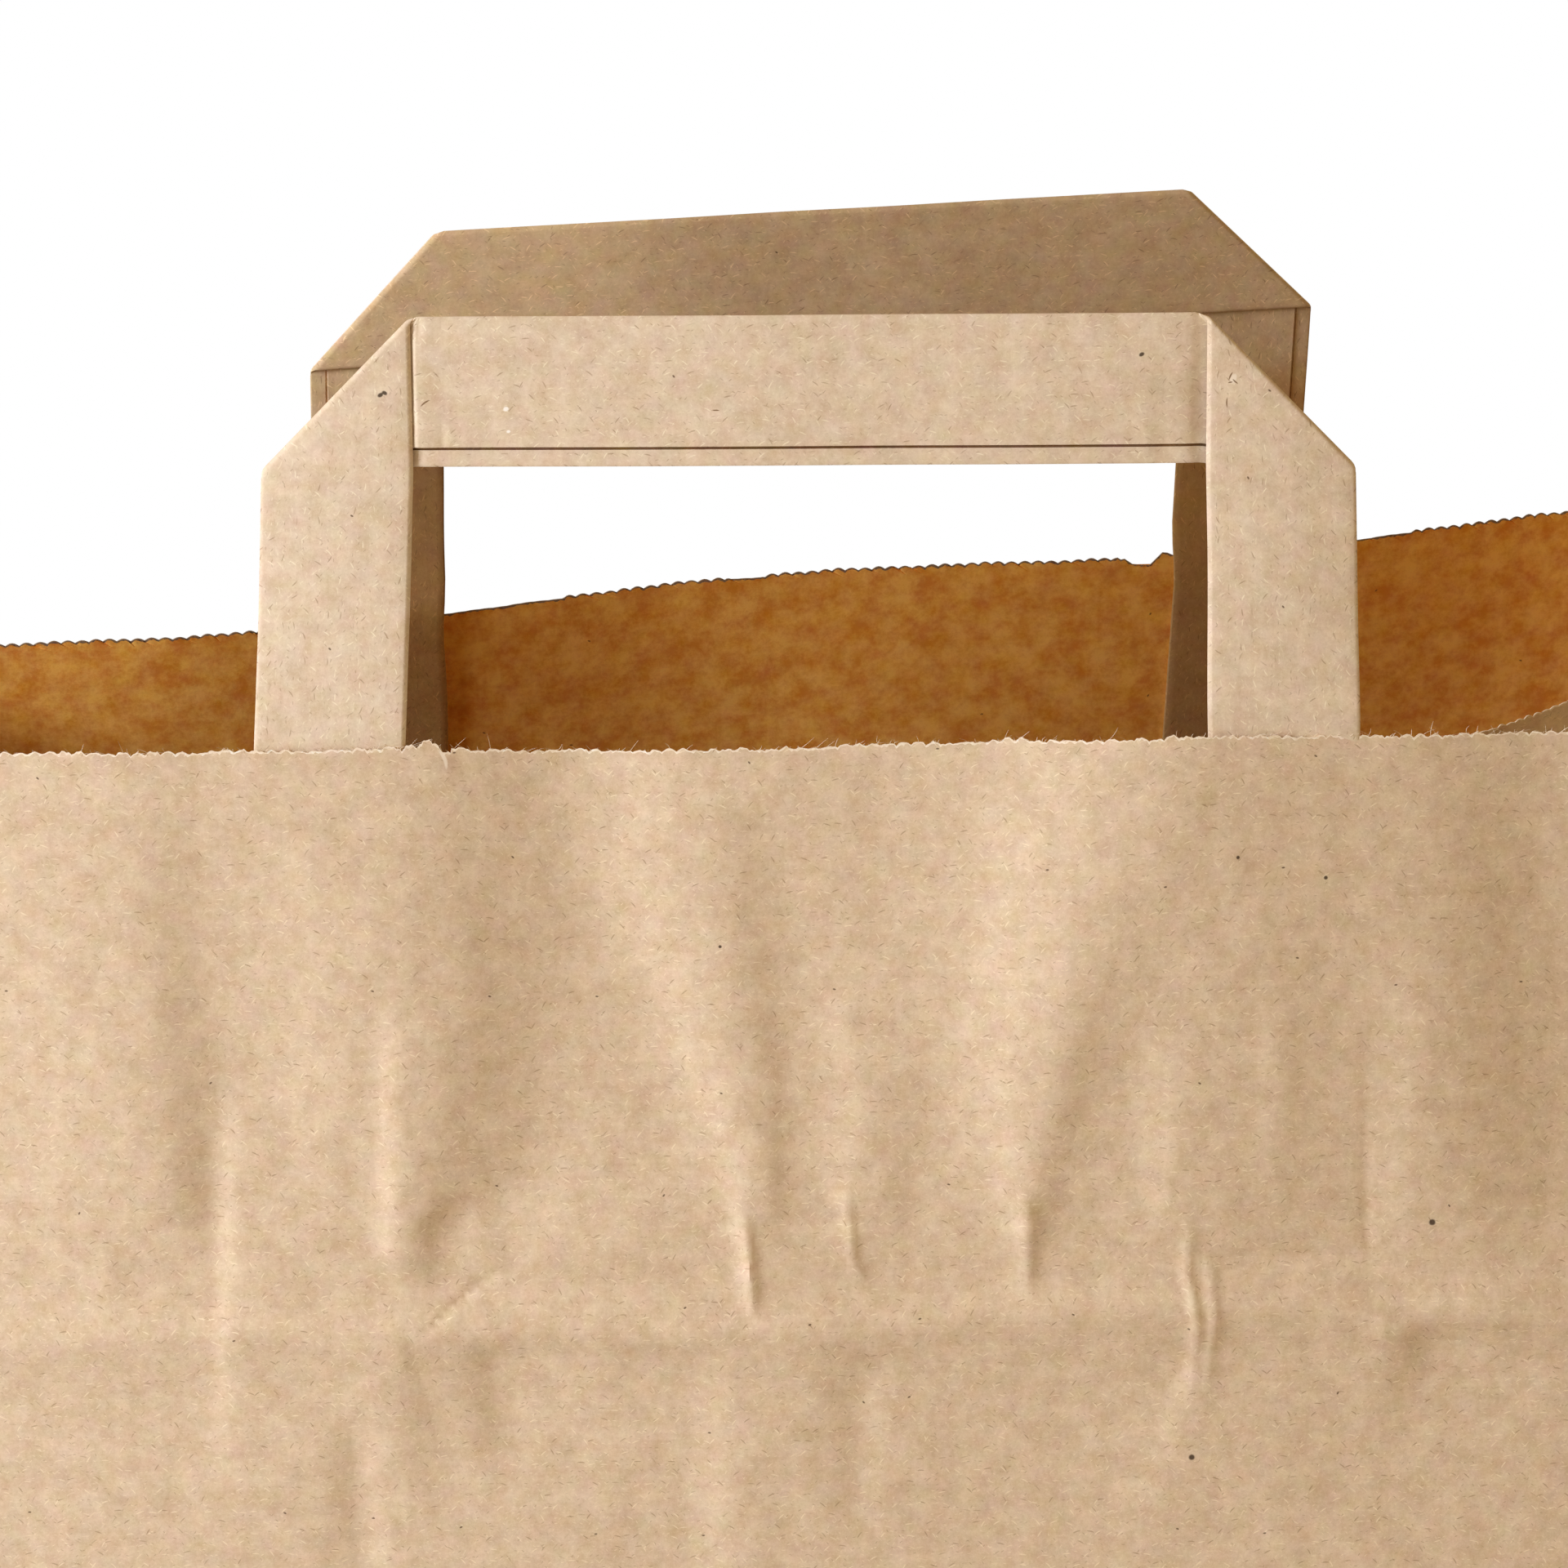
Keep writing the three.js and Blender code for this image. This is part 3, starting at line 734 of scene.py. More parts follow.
lowest = rings[0]
front_row = ring_part(lowest, 0)
back_row = ring_part(lowest, 3)[::-1]
right_edge = side_triangle((ring_part(lowest, 1)[::-1], ring_part(lowest, 2)), 1)
left_edge = side_triangle((ring_part(lowest, 4)[::-1], ring_part(lowest, 5)), -1)[::-1]
bottom_rows = [front_row]
for step in range(1, len(right_edge) - 1):
    ends = [np.array(sheet.points[name]) for name in (left_edge[step], right_edge[step])]
    places = blend(ends[0], ends[1], coarse_panel[1:-1, None])
    flat = np.stack([bottom_flat + places[:, 0], places[:, 1]], axis=-1)
    bottom_rows.append([left_edge[step]] + sheet.add_points(places, flat) + [right_edge[step]])
bottom_rows.append(back_row)
for near, far in zip(bottom_rows, bottom_rows[1:]):
    sheet.stitch(far, coarse_panel, near, coarse_panel, lambda place: "bottom", closed=False)
print(f"{len(bottom_rows)} rows across the bottom, {len(sheet.faces)} triangles on the outer face")

# %% Both faces of the paper
def corner_normals(points, faces):
    """A unit normal for each point: the triangles around it, each weighed by its angle there.

    Both sides of a sharp crease then count the same, and the inner face stays inside the fold.
    """
    total = np.zeros_like(points)
    for corner in range(3):
        here, after, before = (points[faces[:, (corner + step) % 3]] for step in range(3))
        normal = np.cross(after - here, before - here)
        size = np.maximum(np.linalg.norm(normal, axis=1), 1e-9)
        angle = np.arctan2(size, ((after - here) * (before - here)).sum(axis=1))
        np.add.at(total, faces[:, corner], normal * (angle / size)[:, None])
    return total / np.linalg.norm(total, axis=1, keepdims=True)


outer_points = np.array(sheet.points)
outer_faces = np.array(sheet.faces)
inner_points = outer_points - paper * corner_normals(outer_points, outer_faces)
count = len(outer_points)
rim_names = np.array(rim_ring[0])
next_names = np.roll(rim_names, -1)
edge_faces = np.concatenate([
    np.stack([rim_names, next_names, next_names + count], axis=1),
    np.stack([rim_names, next_names + count, rim_names + count], axis=1),
])
finish_order = ["outside", "inside", "inside_gusset", "edge", "back_edge", "flap"]
inner_finish = {"panel": "inside", "gusset": "inside_gusset", "bottom": "inside_gusset"}
outer_finish = [zone if zone.endswith("edge") else "outside" for zone in sheet.zones]
cut_finish = ["back_edge" if int(place) == 3 else "edge" for place in rim_ring[1]] * 2
zones = outer_finish + [inner_finish.get(zone, zone) for zone in sheet.zones] + cut_finish
bag_points = np.concatenate([outer_points, inner_points])
bag_faces = np.concatenate([outer_faces, outer_faces[:, ::-1] + count, edge_faces])
outer_flat = np.array(sheet.flat)
inner_flat_shift = [0, 400]
bag_flat = np.concatenate([outer_flat, outer_flat + inner_flat_shift])
print(f"bag sheet: {len(bag_points)} points, {len(bag_faces)} triangles")

# %% Flaps under the bottom
flap_overlap, flap_inset = 24.0, 0.3
flap_thickness = 0.9 * paper
flap_flat_shift = [2200, 0]


def bottom_flap(side, lowest_z):
    """A trapezoid of paper folded under from one long edge, as a closed thin plate."""
    reach = half_depth + flap_overlap / 2
    wide = half_width - flap_inset
    fold_y, end_y = side * (half_depth - flap_inset), -side * flap_overlap / 2
    outline = [(-wide, fold_y), (wide, fold_y), (wide - reach, end_y), (reach - wide, end_y)]
    if side > 0:
        outline = outline[::-1]
    corners = np.array([(x, y, z) for z in (lowest_z, lowest_z + flap_thickness) for x, y in outline])
    faces = [(0, 2, 1), (0, 3, 2), (4, 5, 6), (4, 6, 7)]
    for at in range(4):
        after = (at + 1) % 4
        faces += [(at, after, after + 4), (at, after + 4, at + 4)]
    return corners, np.array(faces)


for side, lowest_z in ((-1, paper), (1, 0.0)):
    corners, faces = bottom_flap(side, lowest_z)
    bag_faces = np.concatenate([bag_faces, faces + len(bag_points)])
    bag_points = np.concatenate([bag_points, corners])
    bag_flat = np.concatenate([bag_flat, corners[:, :2] + flap_flat_shift])
    zones += ["flap"] * len(faces)
print("two flaps, overlapping", flap_overlap, "mm")

# %% [markdown]
# ## Kraft paper as a finish
# Kraft is unbleached: a warm brown web of long fibres, cloudy where the pulp lay thicker, with dark and
# pale fibres and a few specks of bark. A photograph could be wrapped around the bag, but noise built in
# layers has no seams and stays sharp: clouds, grain, fibres lying mostly across, and specks. The same
# layers, in other colours, make the outside, the darker inside, the tape and the patches.

# %% Layers of a kraft finish
# Two kinds of fibre: width of the cell that holds one, half its length and width, strength.
fibre_kinds = ((1.7, 0.7, 0.11, 0.62), (0.9, 0.32, 0.085, 0.5))
fibre_turn, fibre_bend = 1.1, 0.15
dark_fibre_strength = 0.85
bark_cell, bark_length, bark_width, bark_strength = 17, 0.3, 0.16, 0.8
spot_strength = 0.9
tint_size, tint_strength = 3.4, 0.03
grain_size, grain_height, grain_strength = 0.7, 0.08 * MM, 0.22
paper_roughness, paper_shine = 0.86, 0.22


def mixed_colour(tree, factor, first, second, kind="MIX"):
    return add_node(tree, "ShaderNodeMix", {"data_type": "RGBA", "blend_type": kind},
                    {"Factor_Float": factor, "A_Color": first, "B_Color": second}, 2)


def moved(tree, place, scale, shift):
    return add_node(tree, "ShaderNodeVectorMath", {"operation": "MULTIPLY_ADD"},
                    {"Vector": place, "Vector_001": (scale, scale, 1), "Vector_002": (shift, shift, 0)})


def noise(tree, place, size, detail, roughness, shift=0.0):
    """Noise over the flat sheet, 0 to 1; size is the width of its largest clouds in millimetres."""
    return add_node(tree, "ShaderNodeTexNoise", {"noise_dimensions": "2D"},
                    {"Vector": moved(tree, place, 1, shift), "Scale": 1 / size, "Detail": detail,
                     "Roughness": roughness})


def span(tree, value, start, end):
    """0 where the value is at start, 1 where it is at end, softly between."""
    return add_node(tree, "ShaderNodeMapRange", {"interpolation_type": "SMOOTHSTEP"},
                    {"Value": value, "From Min": start, "From Max": end})


def strand(tree, offset, angle, length, width):
    """One short fibre: an ellipse about a centre, turned by an angle and slightly bent."""
    lying = add_node(tree, "ShaderNodeVectorRotate", {"rotation_type": "Z_AXIS"},
                     {"Vector": offset, "Angle": angle})
    along = add_node(tree, "ShaderNodeSeparateXYZ", None, {"Vector": lying})
    across = along.other("Y") + along * along * fibre_bend
    away = along * along * (1 / length ** 2) + across * across * (1 / width ** 2)
    return span(tree, away, 1.0, 0.25)


def from_centre(tree, place, centre):
    return add_node(tree, "ShaderNodeVectorMath", {"operation": "SUBTRACT"},
                    {"Vector": place, "Vector_001": centre})


def scattered(tree, place, cell, length, width):
    """Fibres strewn over the sheet, one in each cell of a random grid, and a random number for each."""
    cells = add_node(tree, "ShaderNodeTexVoronoi", {"voronoi_dimensions": "2D", "feature": "F1"},
                     {"Vector": place, "Scale": 1 / cell})
    draw = add_node(tree, "ShaderNodeSeparateColor", None, {"Color": cells.other("Color")})
    offset = from_centre(tree, place, cells.other("Position"))
    return strand(tree, offset, draw * (2 * fibre_turn) - fibre_turn, length, width), draw.other("Green")


def paint_strip_shading(tree, place, colour, painted_shades):
    """Painted light and shade along a strip: each has the flat places where it starts and ends, and its
    colour.
    """
    along = add_node(tree, "ShaderNodeSeparateXYZ", None, {"Vector": place})
    for start, end, painted_colour in painted_shades:
        colour = mixed_colour(tree, span(tree, along, start, end), colour, painted_colour, "MULTIPLY")
    return colour


def kraft(name, pale, dark, mark, cloud_size=4.6, cloud_rough=0.88, cloud_gain=2.5, mark_gain=1.0,
          pale_gain=1.0, spots=(), painted_shades=()):
    """A kraft finish: clouds between a pale and a dark tone, with fibres in the colour of a mark or paler."""
    finish = bpy.data.materials.new(name)
    tree = empty_tree(finish)
    place = moved(tree, add_node(tree, "ShaderNodeUVMap", {"uv_map": "sheet"}), 1 / MM, 0)
    web = noise(tree, place, cloud_size, 5.0, cloud_rough)
    colour = mixed_colour(tree, (web - 0.5) * cloud_gain + 0.5, pale, dark)
    tint = noise(tree, place, tint_size, 1.0, 0.5, 31.0).other("Color")
    colour = mixed_colour(tree, tint_strength, colour, tint, "LINEAR_LIGHT")
    cream = tuple(min(1.0, channel * 1.4) for channel in pale[:3]) + (1,)
    for cell, length, width, strength in fibre_kinds:
        fibre, kind = scattered(tree, place, cell, length, width)
        darker = fibre * span(tree, kind, 0.35, 0.0) * (strength * mark_gain * dark_fibre_strength)
        colour = mixed_colour(tree, darker, colour, mark)
        paler = fibre * span(tree, kind, 0.45, 0.95) * (strength * pale_gain)
        colour = mixed_colour(tree, paler, colour, cream)
    bark, kind = scattered(tree, place, bark_cell, bark_length, bark_width)
    bark_colour = (mark[0] * 0.3, mark[1] * 0.24, mark[2] * 0.2, 1)
    colour = mixed_colour(tree, bark * (kind > 0.6) * bark_strength, colour, bark_colour)
    for centre, length, width, angle, spot_colour in spots:
        offset = from_centre(tree, place, centre + (0,))
        spot = strand(tree, offset, math.radians(-angle), length, width)
        colour = mixed_colour(tree, spot * spot_strength, colour, spot_colour)
    # Painted light and shade along a strip, multiplied into the colour.
    if painted_shades:
        colour = paint_strip_shading(tree, place, colour, painted_shades)
    grain = noise(tree, place, grain_size, 1.0, 0.6, 7.0)
    bumped = add_node(tree, "ShaderNodeBump", None,
                      {"Strength": grain_strength, "Distance": grain_height, "Height": grain})
    shader = add_node(tree, "ShaderNodeBsdfPrincipled", None, {
        "Base Color": colour, "Roughness": paper_roughness, "Specular IOR Level": paper_shine,
        "Normal": bumped})
    add_node(tree, "ShaderNodeOutputMaterial", None, {"Surface": shader})
    return finish


print(f"{len(fibre_kinds)} kinds of fibre lie in the paper")

# %% Finishes of the bag
def tone(red, green, blue):
    """A colour as a screen shows it, 0 to 255, turned into the linear values that nodes take."""
    def linear(value):
        value = value / 255
        return value / 12.92 if value <= 0.04045 else ((value + 0.055) / 1.055) ** 2.4
    return (linear(red), linear(green), linear(blue), 1)


soil, torn = tone(58, 40, 24), tone(240, 222, 196)


def front_spot(across, below, length, width, angle, colour):
    """A mark on the front panel: its place, half its length and width, its angle and its colour."""
    return (across + half_width, panel_height - below), length, width, angle, colour


front_spots = [front_spot(across, below, radius, radius, 0, soil) for across, below, radius in (
    (-13.2, 29.7, 0.3), (62.1, 17.6, 0.32), (75.0, 20.7, 0.36), (91.9, 73.1, 0.6), (56.7, 110.1, 0.55))]
front_spots.append(front_spot(-52.85, 1.5, 1.8, 0.36, -69, torn))
finishes = {
    "outside": kraft("kraft_outside", tone(228, 203, 170), tone(203, 175, 140), tone(138, 106, 70),
                     pale_gain=0.75, spots=front_spots),
    # The inside: browner paper, with a bright orange glow of light inside the bag painted into its colour.
    "inside": kraft("kraft_inside_painted_glow", tone(255, 194, 92), tone(226, 143, 50), tone(150, 84, 30),
                    cloud_size=5.6, cloud_rough=0.8, cloud_gain=3.4, mark_gain=0.15, pale_gain=0.15),
    "inside_gusset": kraft("kraft_inside_gusset", tone(218, 184, 156), tone(193, 156, 124),
                           tone(128, 94, 64)),
    "edge": kraft("kraft_cut_edge", tone(250, 234, 208), tone(232, 208, 176), tone(196, 164, 126),
                  cloud_size=3),
    # The back rim's cut edge: the same cut paper as the front edge, darkened as painted shade.
    "back_edge": kraft("kraft_painted_shade_back_edge", tone(150, 124, 96), tone(122, 98, 72), tone(90, 66, 44),
                       cloud_size=3),
    "flap": kraft("kraft_flap", tone(226, 198, 163), tone(203, 172, 136), tone(138, 104, 68)),
}
print(f"{len(finishes)} kraft finishes")

# %% [markdown]
# ## From arrays to pieces
# Blender takes points and faces as plain lists. One helper makes every piece, gives each face its
# finish, and keeps the flat-sheet place of each corner as a UV map, so that fibres run along the paper
# and not through space.

# %% Piece helper
def paper_piece(name, points, faces, piece_finishes, face_finishes, flat, wrap=None, sharp=40):
    """A mesh object from millimetres; wrap is the flat width at which a closed tube starts again."""
    mesh = bpy.data.meshes.new(name)
    mesh.from_pydata((points * MM).tolist(), [], [tuple(int(corner) for corner in face) for face in faces])
    for finish in piece_finishes:
        mesh.materials.append(finish)
    mesh.polygons.foreach_set("material_index", np.asarray(face_finishes, np.int32))
    mesh.polygons.foreach_set("use_smooth", np.ones(len(mesh.polygons), bool))
    corners = np.empty(len(mesh.loops), np.int32)
    mesh.loops.foreach_get("vertex_index", corners)
    places = np.asarray(flat, float)[corners]
    if wrap:
        by_face = places.reshape(-1, 3, 2)
        crosses = np.ptp(by_face[:, :, 0], axis=1) > wrap / 2
        low_side = crosses[:, None] & (by_face[:, :, 0] < wrap / 2)
        by_face[:, :, 0] += np.where(low_side, wrap, 0)
        places = by_face.reshape(-1, 2)
    layer = mesh.uv_layers.new(name="sheet")
    layer.uv.foreach_set("vector", (places * MM).astype(np.float32).ravel())
    mesh.set_sharp_from_angle(angle=math.radians(sharp))
    piece = bpy.data.objects.new(name, mesh)
    bpy.context.collection.objects.link(piece)
    return piece


bag = paper_piece("bag_sheet", bag_points, bag_faces, [finishes[zone] for zone in finish_order],
                  [finish_order.index(zone) for zone in zones], bag_flat, wrap=flat_starts[-1])
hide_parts("bag_body")
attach(bag, "root")
print(f"{bag.name}: {len(bag.data.polygons)} triangles")

# %% [markdown]
# ## Tape handles
# Each handle is one strip of folded tape: up from inside the panel, turned over at 45 degrees, across as
# the grip, turned over again and down. A boolean of flat boxes would show no fold, so the strip is
# swept: stations along the tape carry one closed cross-section, with a rounded edge on both sides and
# the free edge of the last ply near one of them. At a corner the stations go around a half circle whose
# axis lies along the diagonal.

# %% Places on a panel's inner face
handle_width = 157.0
handle_rise = 62.5
tape_width = 22.0
tape_thickness = 0.7
tape_ply = 0.28
seam_from_edge = 2.85
groove_lift = 0.16
front_splay = {"left": 2.8, "right": 1.7}
back_splay = {"left": -1.3, "right": 2.5}
leg_depth = 78.0
glue_gap = 0.3
turn_gap = 0.15
half_handle = handle_width / 2
turn_up = handle_rise - tape_width
grip_end = half_handle - tape_width
leg_middle = glue_gap + tape_thickness / 2
grip_middle = leg_middle + tape_thickness + turn_gap
# How far apart the slope of a panel is read, and the heights over which a leg leaves its panel.
slope_reach = 2.0
leaves_panel = (-5, 7)


def unit(vector):
    return vector / np.linalg.norm(vector, axis=-1, keepdims=True)


def inside_of(panel, turn_round, shift):
    """Places inside a panel: across to the right seen from outside, up from the rim, and inward."""
    def place(across, up, inward):
        values = (np.asarray(value, float) for value in (across, up, inward))
        across, up, inward = np.broadcast_arrays(*values)

        def on_panel(x, z):
            return panel(turn_round * x + shift, 1 + z / panel_height)

        across_way = on_panel(across + slope_reach, up) - on_panel(across - slope_reach, up)
        up_way = on_panel(across, up + slope_reach) - on_panel(across, up - slope_reach)
        inward_way = unit(np.cross(up_way, across_way))
        return on_panel(across, up) + inward_way * (paper + inward)[..., None]

    return place


def standing(place, plain_place, bend):
    """The plane of a handle above the rim: it stands on the two legs and is bent a little at the rim."""
    leg_across = half_handle - tape_width / 2
    feet = place(np.array([-leg_across, leg_across]), np.zeros(2), np.zeros(2))
    origin = feet.mean(axis=0)
    across_way = unit(feet[1] - feet[0])
    panel_up = unit(plain_place(0, 1, 0) - plain_place(0, -1, 0))
    panel_up = unit(panel_up - across_way * (panel_up @ across_way))
    inward_way = np.cross(panel_up, across_way)
    up_way = panel_up * math.cos(bend) - inward_way * math.sin(bend)
    inward_way = np.cross(up_way, across_way)

    def stand(across, up, inward):
        across, up, inward = (value[..., None] for value in (across, up, inward))
        return origin + across * across_way + up * up_way + inward * inward_way

    return stand


def handle_place(panel, plain_panel, turn_round, shift, bend):
    """Below the rim a leg lies against the panel; above it, in the handle's own plane."""
    place = inside_of(panel, turn_round, shift)
    stand = standing(place, inside_of(plain_panel, turn_round, shift), bend)

    def placed(across, up, inward):
        weight = smooth(up, *leaves_panel)[..., None]
        return place(across, up, inward) * (1 - weight) + stand(across, up, inward) * weight

    return placed


print(f"legs {glue_gap} mm inside the panel, grip {grip_middle - leg_middle:.2f} mm behind the legs")

# %% Stations along the tape
Rows = namedtuple("Rows", "across up inward face_across face_up face_in along")
turn_radius = (grip_middle - leg_middle) / 2
slide = (turn_radius + tape_thickness / 2) * math.sqrt(2)
strip_length = handle_width + 2 * turn_up


def leg_outer(splay, up):
    """The outer edge of one leg at a height; its splay is in degrees."""
    return half_handle + (turn_up - up) * math.tan(math.radians(splay))


def leg_stations(across_tape, splay):
    """Rows up one leg, square at its end and slanted at the turn."""
    ups = np.concatenate([spaced(-leg_depth, -4, 3), spaced(-3, 8, 1.2), spaced(10, turn_up, 1.3)])
    share = smooth(ups, -leg_depth, turn_up)
    up = ups[:, None] + share[:, None] * (across_tape - slide)[None, :]
    across = -leg_outer(splay, np.minimum(up, turn_up)) + across_tape
    plain = np.zeros_like(up)
    return Rows(across, up, plain + leg_middle, plain, plain, plain - 1, up)


def turn_stations(across_tape):
    """Rows around the turned edge: a half circle about the diagonal."""
    angles = np.linspace(0, math.pi, 13)[1:-1, None] + 0 * across_tape
    reach = turn_radius * np.sin(angles) / math.sqrt(2)
    slid = slide * angles / math.pi
    across = -half_handle + across_tape + slid - reach
    up = turn_up + across_tape - slide + slid + reach
    side = np.sin(angles) / math.sqrt(2)
    inward = leg_middle + turn_radius * (1 - np.cos(angles))
    return Rows(across, up, inward, -side, side, -np.cos(angles), turn_up + across_tape - slide + 2 * slid)


def grip_stations(across_tape):
    """Rows along the grip: slanted behind the legs, upright where they are seen, close at the ends."""
    start = -half_handle + across_tape + slide
    seen_from = -half_handle + tape_width + slide + 0.5
    behind = blend(start, seen_from, (1 - (1 - np.linspace(0, 1, 25)) ** 2)[:-1, None])
    plain_reach = 48
    ends = spaced(seen_from, -plain_reach, 0.4)[:-1]
    middle = spaced(-plain_reach, plain_reach, 1.0)
    seen = np.concatenate([ends, middle, -ends[::-1]])[:, None] + 0 * across_tape
    across = np.concatenate([behind, seen, -behind[::-1]])
    plain = np.zeros_like(across)
    up = turn_up + across_tape + plain
    return Rows(across, up, plain + grip_middle, plain, plain, plain + 1, across + half_handle + turn_up)


def tape_section():
    """The closed section: place across the tape and height off its middle, highest on the plain face."""
    half = tape_thickness / 2
    thin = half - tape_ply
    seam = seam_from_edge
    plain_face = [(place, half) for place in np.linspace(0.6, tape_width - 0.75, 20)]
    far_edge = [(tape_width - 0.5, 0.3), (tape_width - 0.14, 0.0), (tape_width, -0.14),
                (tape_width - 0.08, -0.26)]
    seam_face = [(place, -half) for place in np.linspace(tape_width - 0.3, seam + 0.25, 18)]
    groove = [(seam + 0.06, -half - 0.02), (seam, -half + 0.06), (seam, groove_lift)]
    groove += [(seam - 0.36, groove_lift), (seam - 0.4, -thin)]
    under_ply = [(place, -thin) for place in np.linspace(seam - 0.55, 0.3, 5)]
    near_edge = [(0.08, -0.04), (0.0, 0.04), (0.06, 0.16), (0.25, 0.29)]
    return np.array(plain_face + far_edge + seam_face + groove + under_ply + near_edge)


def mirrored(rows):
    """The same rows on the other side of the handle, in reverse order along the tape."""
    turned = Rows(*(column[::-1] for column in rows))
    return turned._replace(across=-turned.across, face_across=-turned.face_across,
                           along=strip_length - turned.along)


places_across, lift = tape_section().T


def tape_rows(splay):
    """All stations of a handle in order, with the section's height added along each face's way."""
    left, right = (leg_stations(places_across, splay[side]) for side in ("left", "right"))
    corner = turn_stations(places_across)
    parts = [left, corner, grip_stations(places_across), mirrored(corner), mirrored(right)]
    rows = Rows(*(np.concatenate(columns) for columns in zip(*parts)))
    return rows._replace(across=rows.across + rows.face_across * lift, up=rows.up + rows.face_up * lift,
                         inward=rows.inward + rows.face_in * lift)


stations = tape_rows(front_splay).across.shape
print(f"{stations[0]} stations of {stations[1]} points on each handle")

# %% Handle finishes
def grip_spot(across, up, length, width, angle, colour):
    """A mark on the grip: place across the handle and up the tape."""
    return (across + half_handle + turn_up, up), length, width, angle, colour


def leg_spot(along, across, length, width, angle, colour):
    """A mark on a leg: place along the flat strip and across the tape."""
    return (along, across), length, width, angle, colour


scuffed, bare = tone(124, 92, 58), tone(252, 244, 228)
tape_marks = [
    grip_spot(47.8, 16.0, 0.5, 0.34, 30, soil), grip_spot(-43.0, 8.5, 0.5, 0.4, 20, bare),
    grip_spot(-42.7, 5.2, 0.36, 0.26, 10, bare), grip_spot(-54.6, 9.5, 1.0, 0.15, 35, scuffed),
    grip_spot(-12.9, 8.2, 0.6, 0.12, 0, scuffed), grip_spot(-14.1, 2.7, 0.35, 0.25, 0, soil),
    leg_spot(51.4, 17.6, 0.55, 0.36, 60, soil), leg_spot(51.7, 18.2, 0.5, 0.34, -60, soil),
    leg_spot(184.9, 18.2, 0.9, 0.6, 20, torn), leg_spot(184.5, 18.6, 0.75, 0.14, 25, scuffed),
    leg_spot(185.3, 17.9, 0.6, 0.13, -50, scuffed), leg_spot(185.4, 18.6, 0.4, 0.12, 80, scuffed),
    leg_spot(188.3, 19.1, 0.9, 0.12, 0, scuffed),
]
back_flat_start = 1000.0
back_middle = back_flat_start + strip_length / 2
# Painted light and shade along the back handle: the grip lighter on its left, painted shade on the upper part
# of the left leg, lighter again below it, and painted shade on the right leg. Where each starts and ends from
# the strip's middle, red, green and blue.
back_painted_tones = [(18, 38, 1.15, 1.17, 1.16), (84, 95, 0.46, 0.34, 0.2), (106, 124, 1.8, 1.95, 1.95),
              (-84, -95, 0.84, 0.69, 0.43)]
back_painted_light = [(back_middle + start, back_middle + end, (*painted_tone, 1)) for start, end, *painted_tone in back_painted_tones]
tape_outside = kraft("tape_outside", tone(230, 208, 178), tone(206, 180, 147), tone(142, 110, 76),
                     pale_gain=0.75, spots=tape_marks)
# The browner finish of faces that look into the bag; on the back handle it carries painted light and shade.
tape_inside = kraft("tape_inside", tone(200, 171, 131), tone(178, 147, 109), tone(113, 81, 51),
                    painted_shades=back_painted_light)
# Painted shadow for the groove of the seam, where the upper ply overhangs the lower one.
seam_painted_shadow = kraft("seam_painted_shadow", tone(146, 110, 74), tone(124, 92, 60), tone(98, 70, 44))
print(f"{len(tape_marks)} marks on the front handle")

# %% Handle pieces
def grid_faces(row_count, column_count):
    """Quads of a swept closed section, with a fan on both ends."""
    faces = []
    for row in range(row_count - 1):
        for column in range(column_count):
            after = (column + 1) % column_count
            start, end = row * column_count, (row + 1) * column_count
            faces.append((start + column, start + after, end + after, end + column))
    faces.append(tuple(range(column_count - 1, -1, -1)))
    faces.append(tuple(range((row_count - 1) * column_count, row_count * column_count)))
    return faces


# Wear of the front handle, in millimetres.
left_lift, first_band, second_band, seam_crease, corner_curl = 0.5, 0.24, 0.34, 0.14, 0.5
grip_slimming, leg_slimming = 0.4, 0.6


def front_wear(rows):
    """The front grip is lifted at its left end, sunk at its right one and creased by the seam.

    The grip is a little slimmer than the tape, and the right leg gets slimmer towards its turn.
    """
    across, up = rows.across, rows.up
    from_left, from_right = across + grip_end, grip_end - across
    seam_up = turn_up + seam_from_edge
    above_seam = smooth(up, seam_up - 0.3, seam_up + 0.2)
    falling = np.exp(-np.maximum(from_left - 0.6, 0) / 2.6)
    lifted = -left_lift * above_seam * smooth(from_left, 0.1, 0.6) * falling
    low_share = 0.35 + 0.65 * smooth(up, 58, 50)
    sunk = (first_band * smooth(from_right, 8.5, 5) + second_band * smooth(from_right, 3.5, 0.1)) * low_share
    creased = seam_crease * ridge((from_left - 4.3) / 0.4) * smooth(up, 47.5, 46) * above_seam
    corner = corner_curl * np.exp(-((from_left - 1.1) / 0.9) ** 2 - ((up - 61.2) / 1.3) ** 2)
    on_grip = rows.face_in > 0.5
    seen_share = smooth(np.abs(across), grip_end + 2.5, grip_end - 0.5)
    raised = grip_slimming * (handle_rise - up) / tape_width * seen_share
    inner_share = np.clip((half_handle - across) / tape_width, 0, 1) * (across > 0)
    slimmed = leg_slimming * inner_share * smooth(up, 0, 30) * (1 - rows.face_in) / 2
    inward = rows.inward + (lifted + sunk + creased + corner) * on_grip
    return rows._replace(across=across + slimmed, up=up + raised * on_grip, inward=inward)


# Wear of the back handle: shares of a length, but for the bend of the leg and the places, in millimetres.
back_slimming, leg_bend, back_twist = 0.08, 1.3, 0.047
grip_bend, grip_bend_from, grip_bend_softness = 0.085, 25.0, 60.0
bend_aside, bend_down = 0.15, 0.33
stands_free = (2, 22)


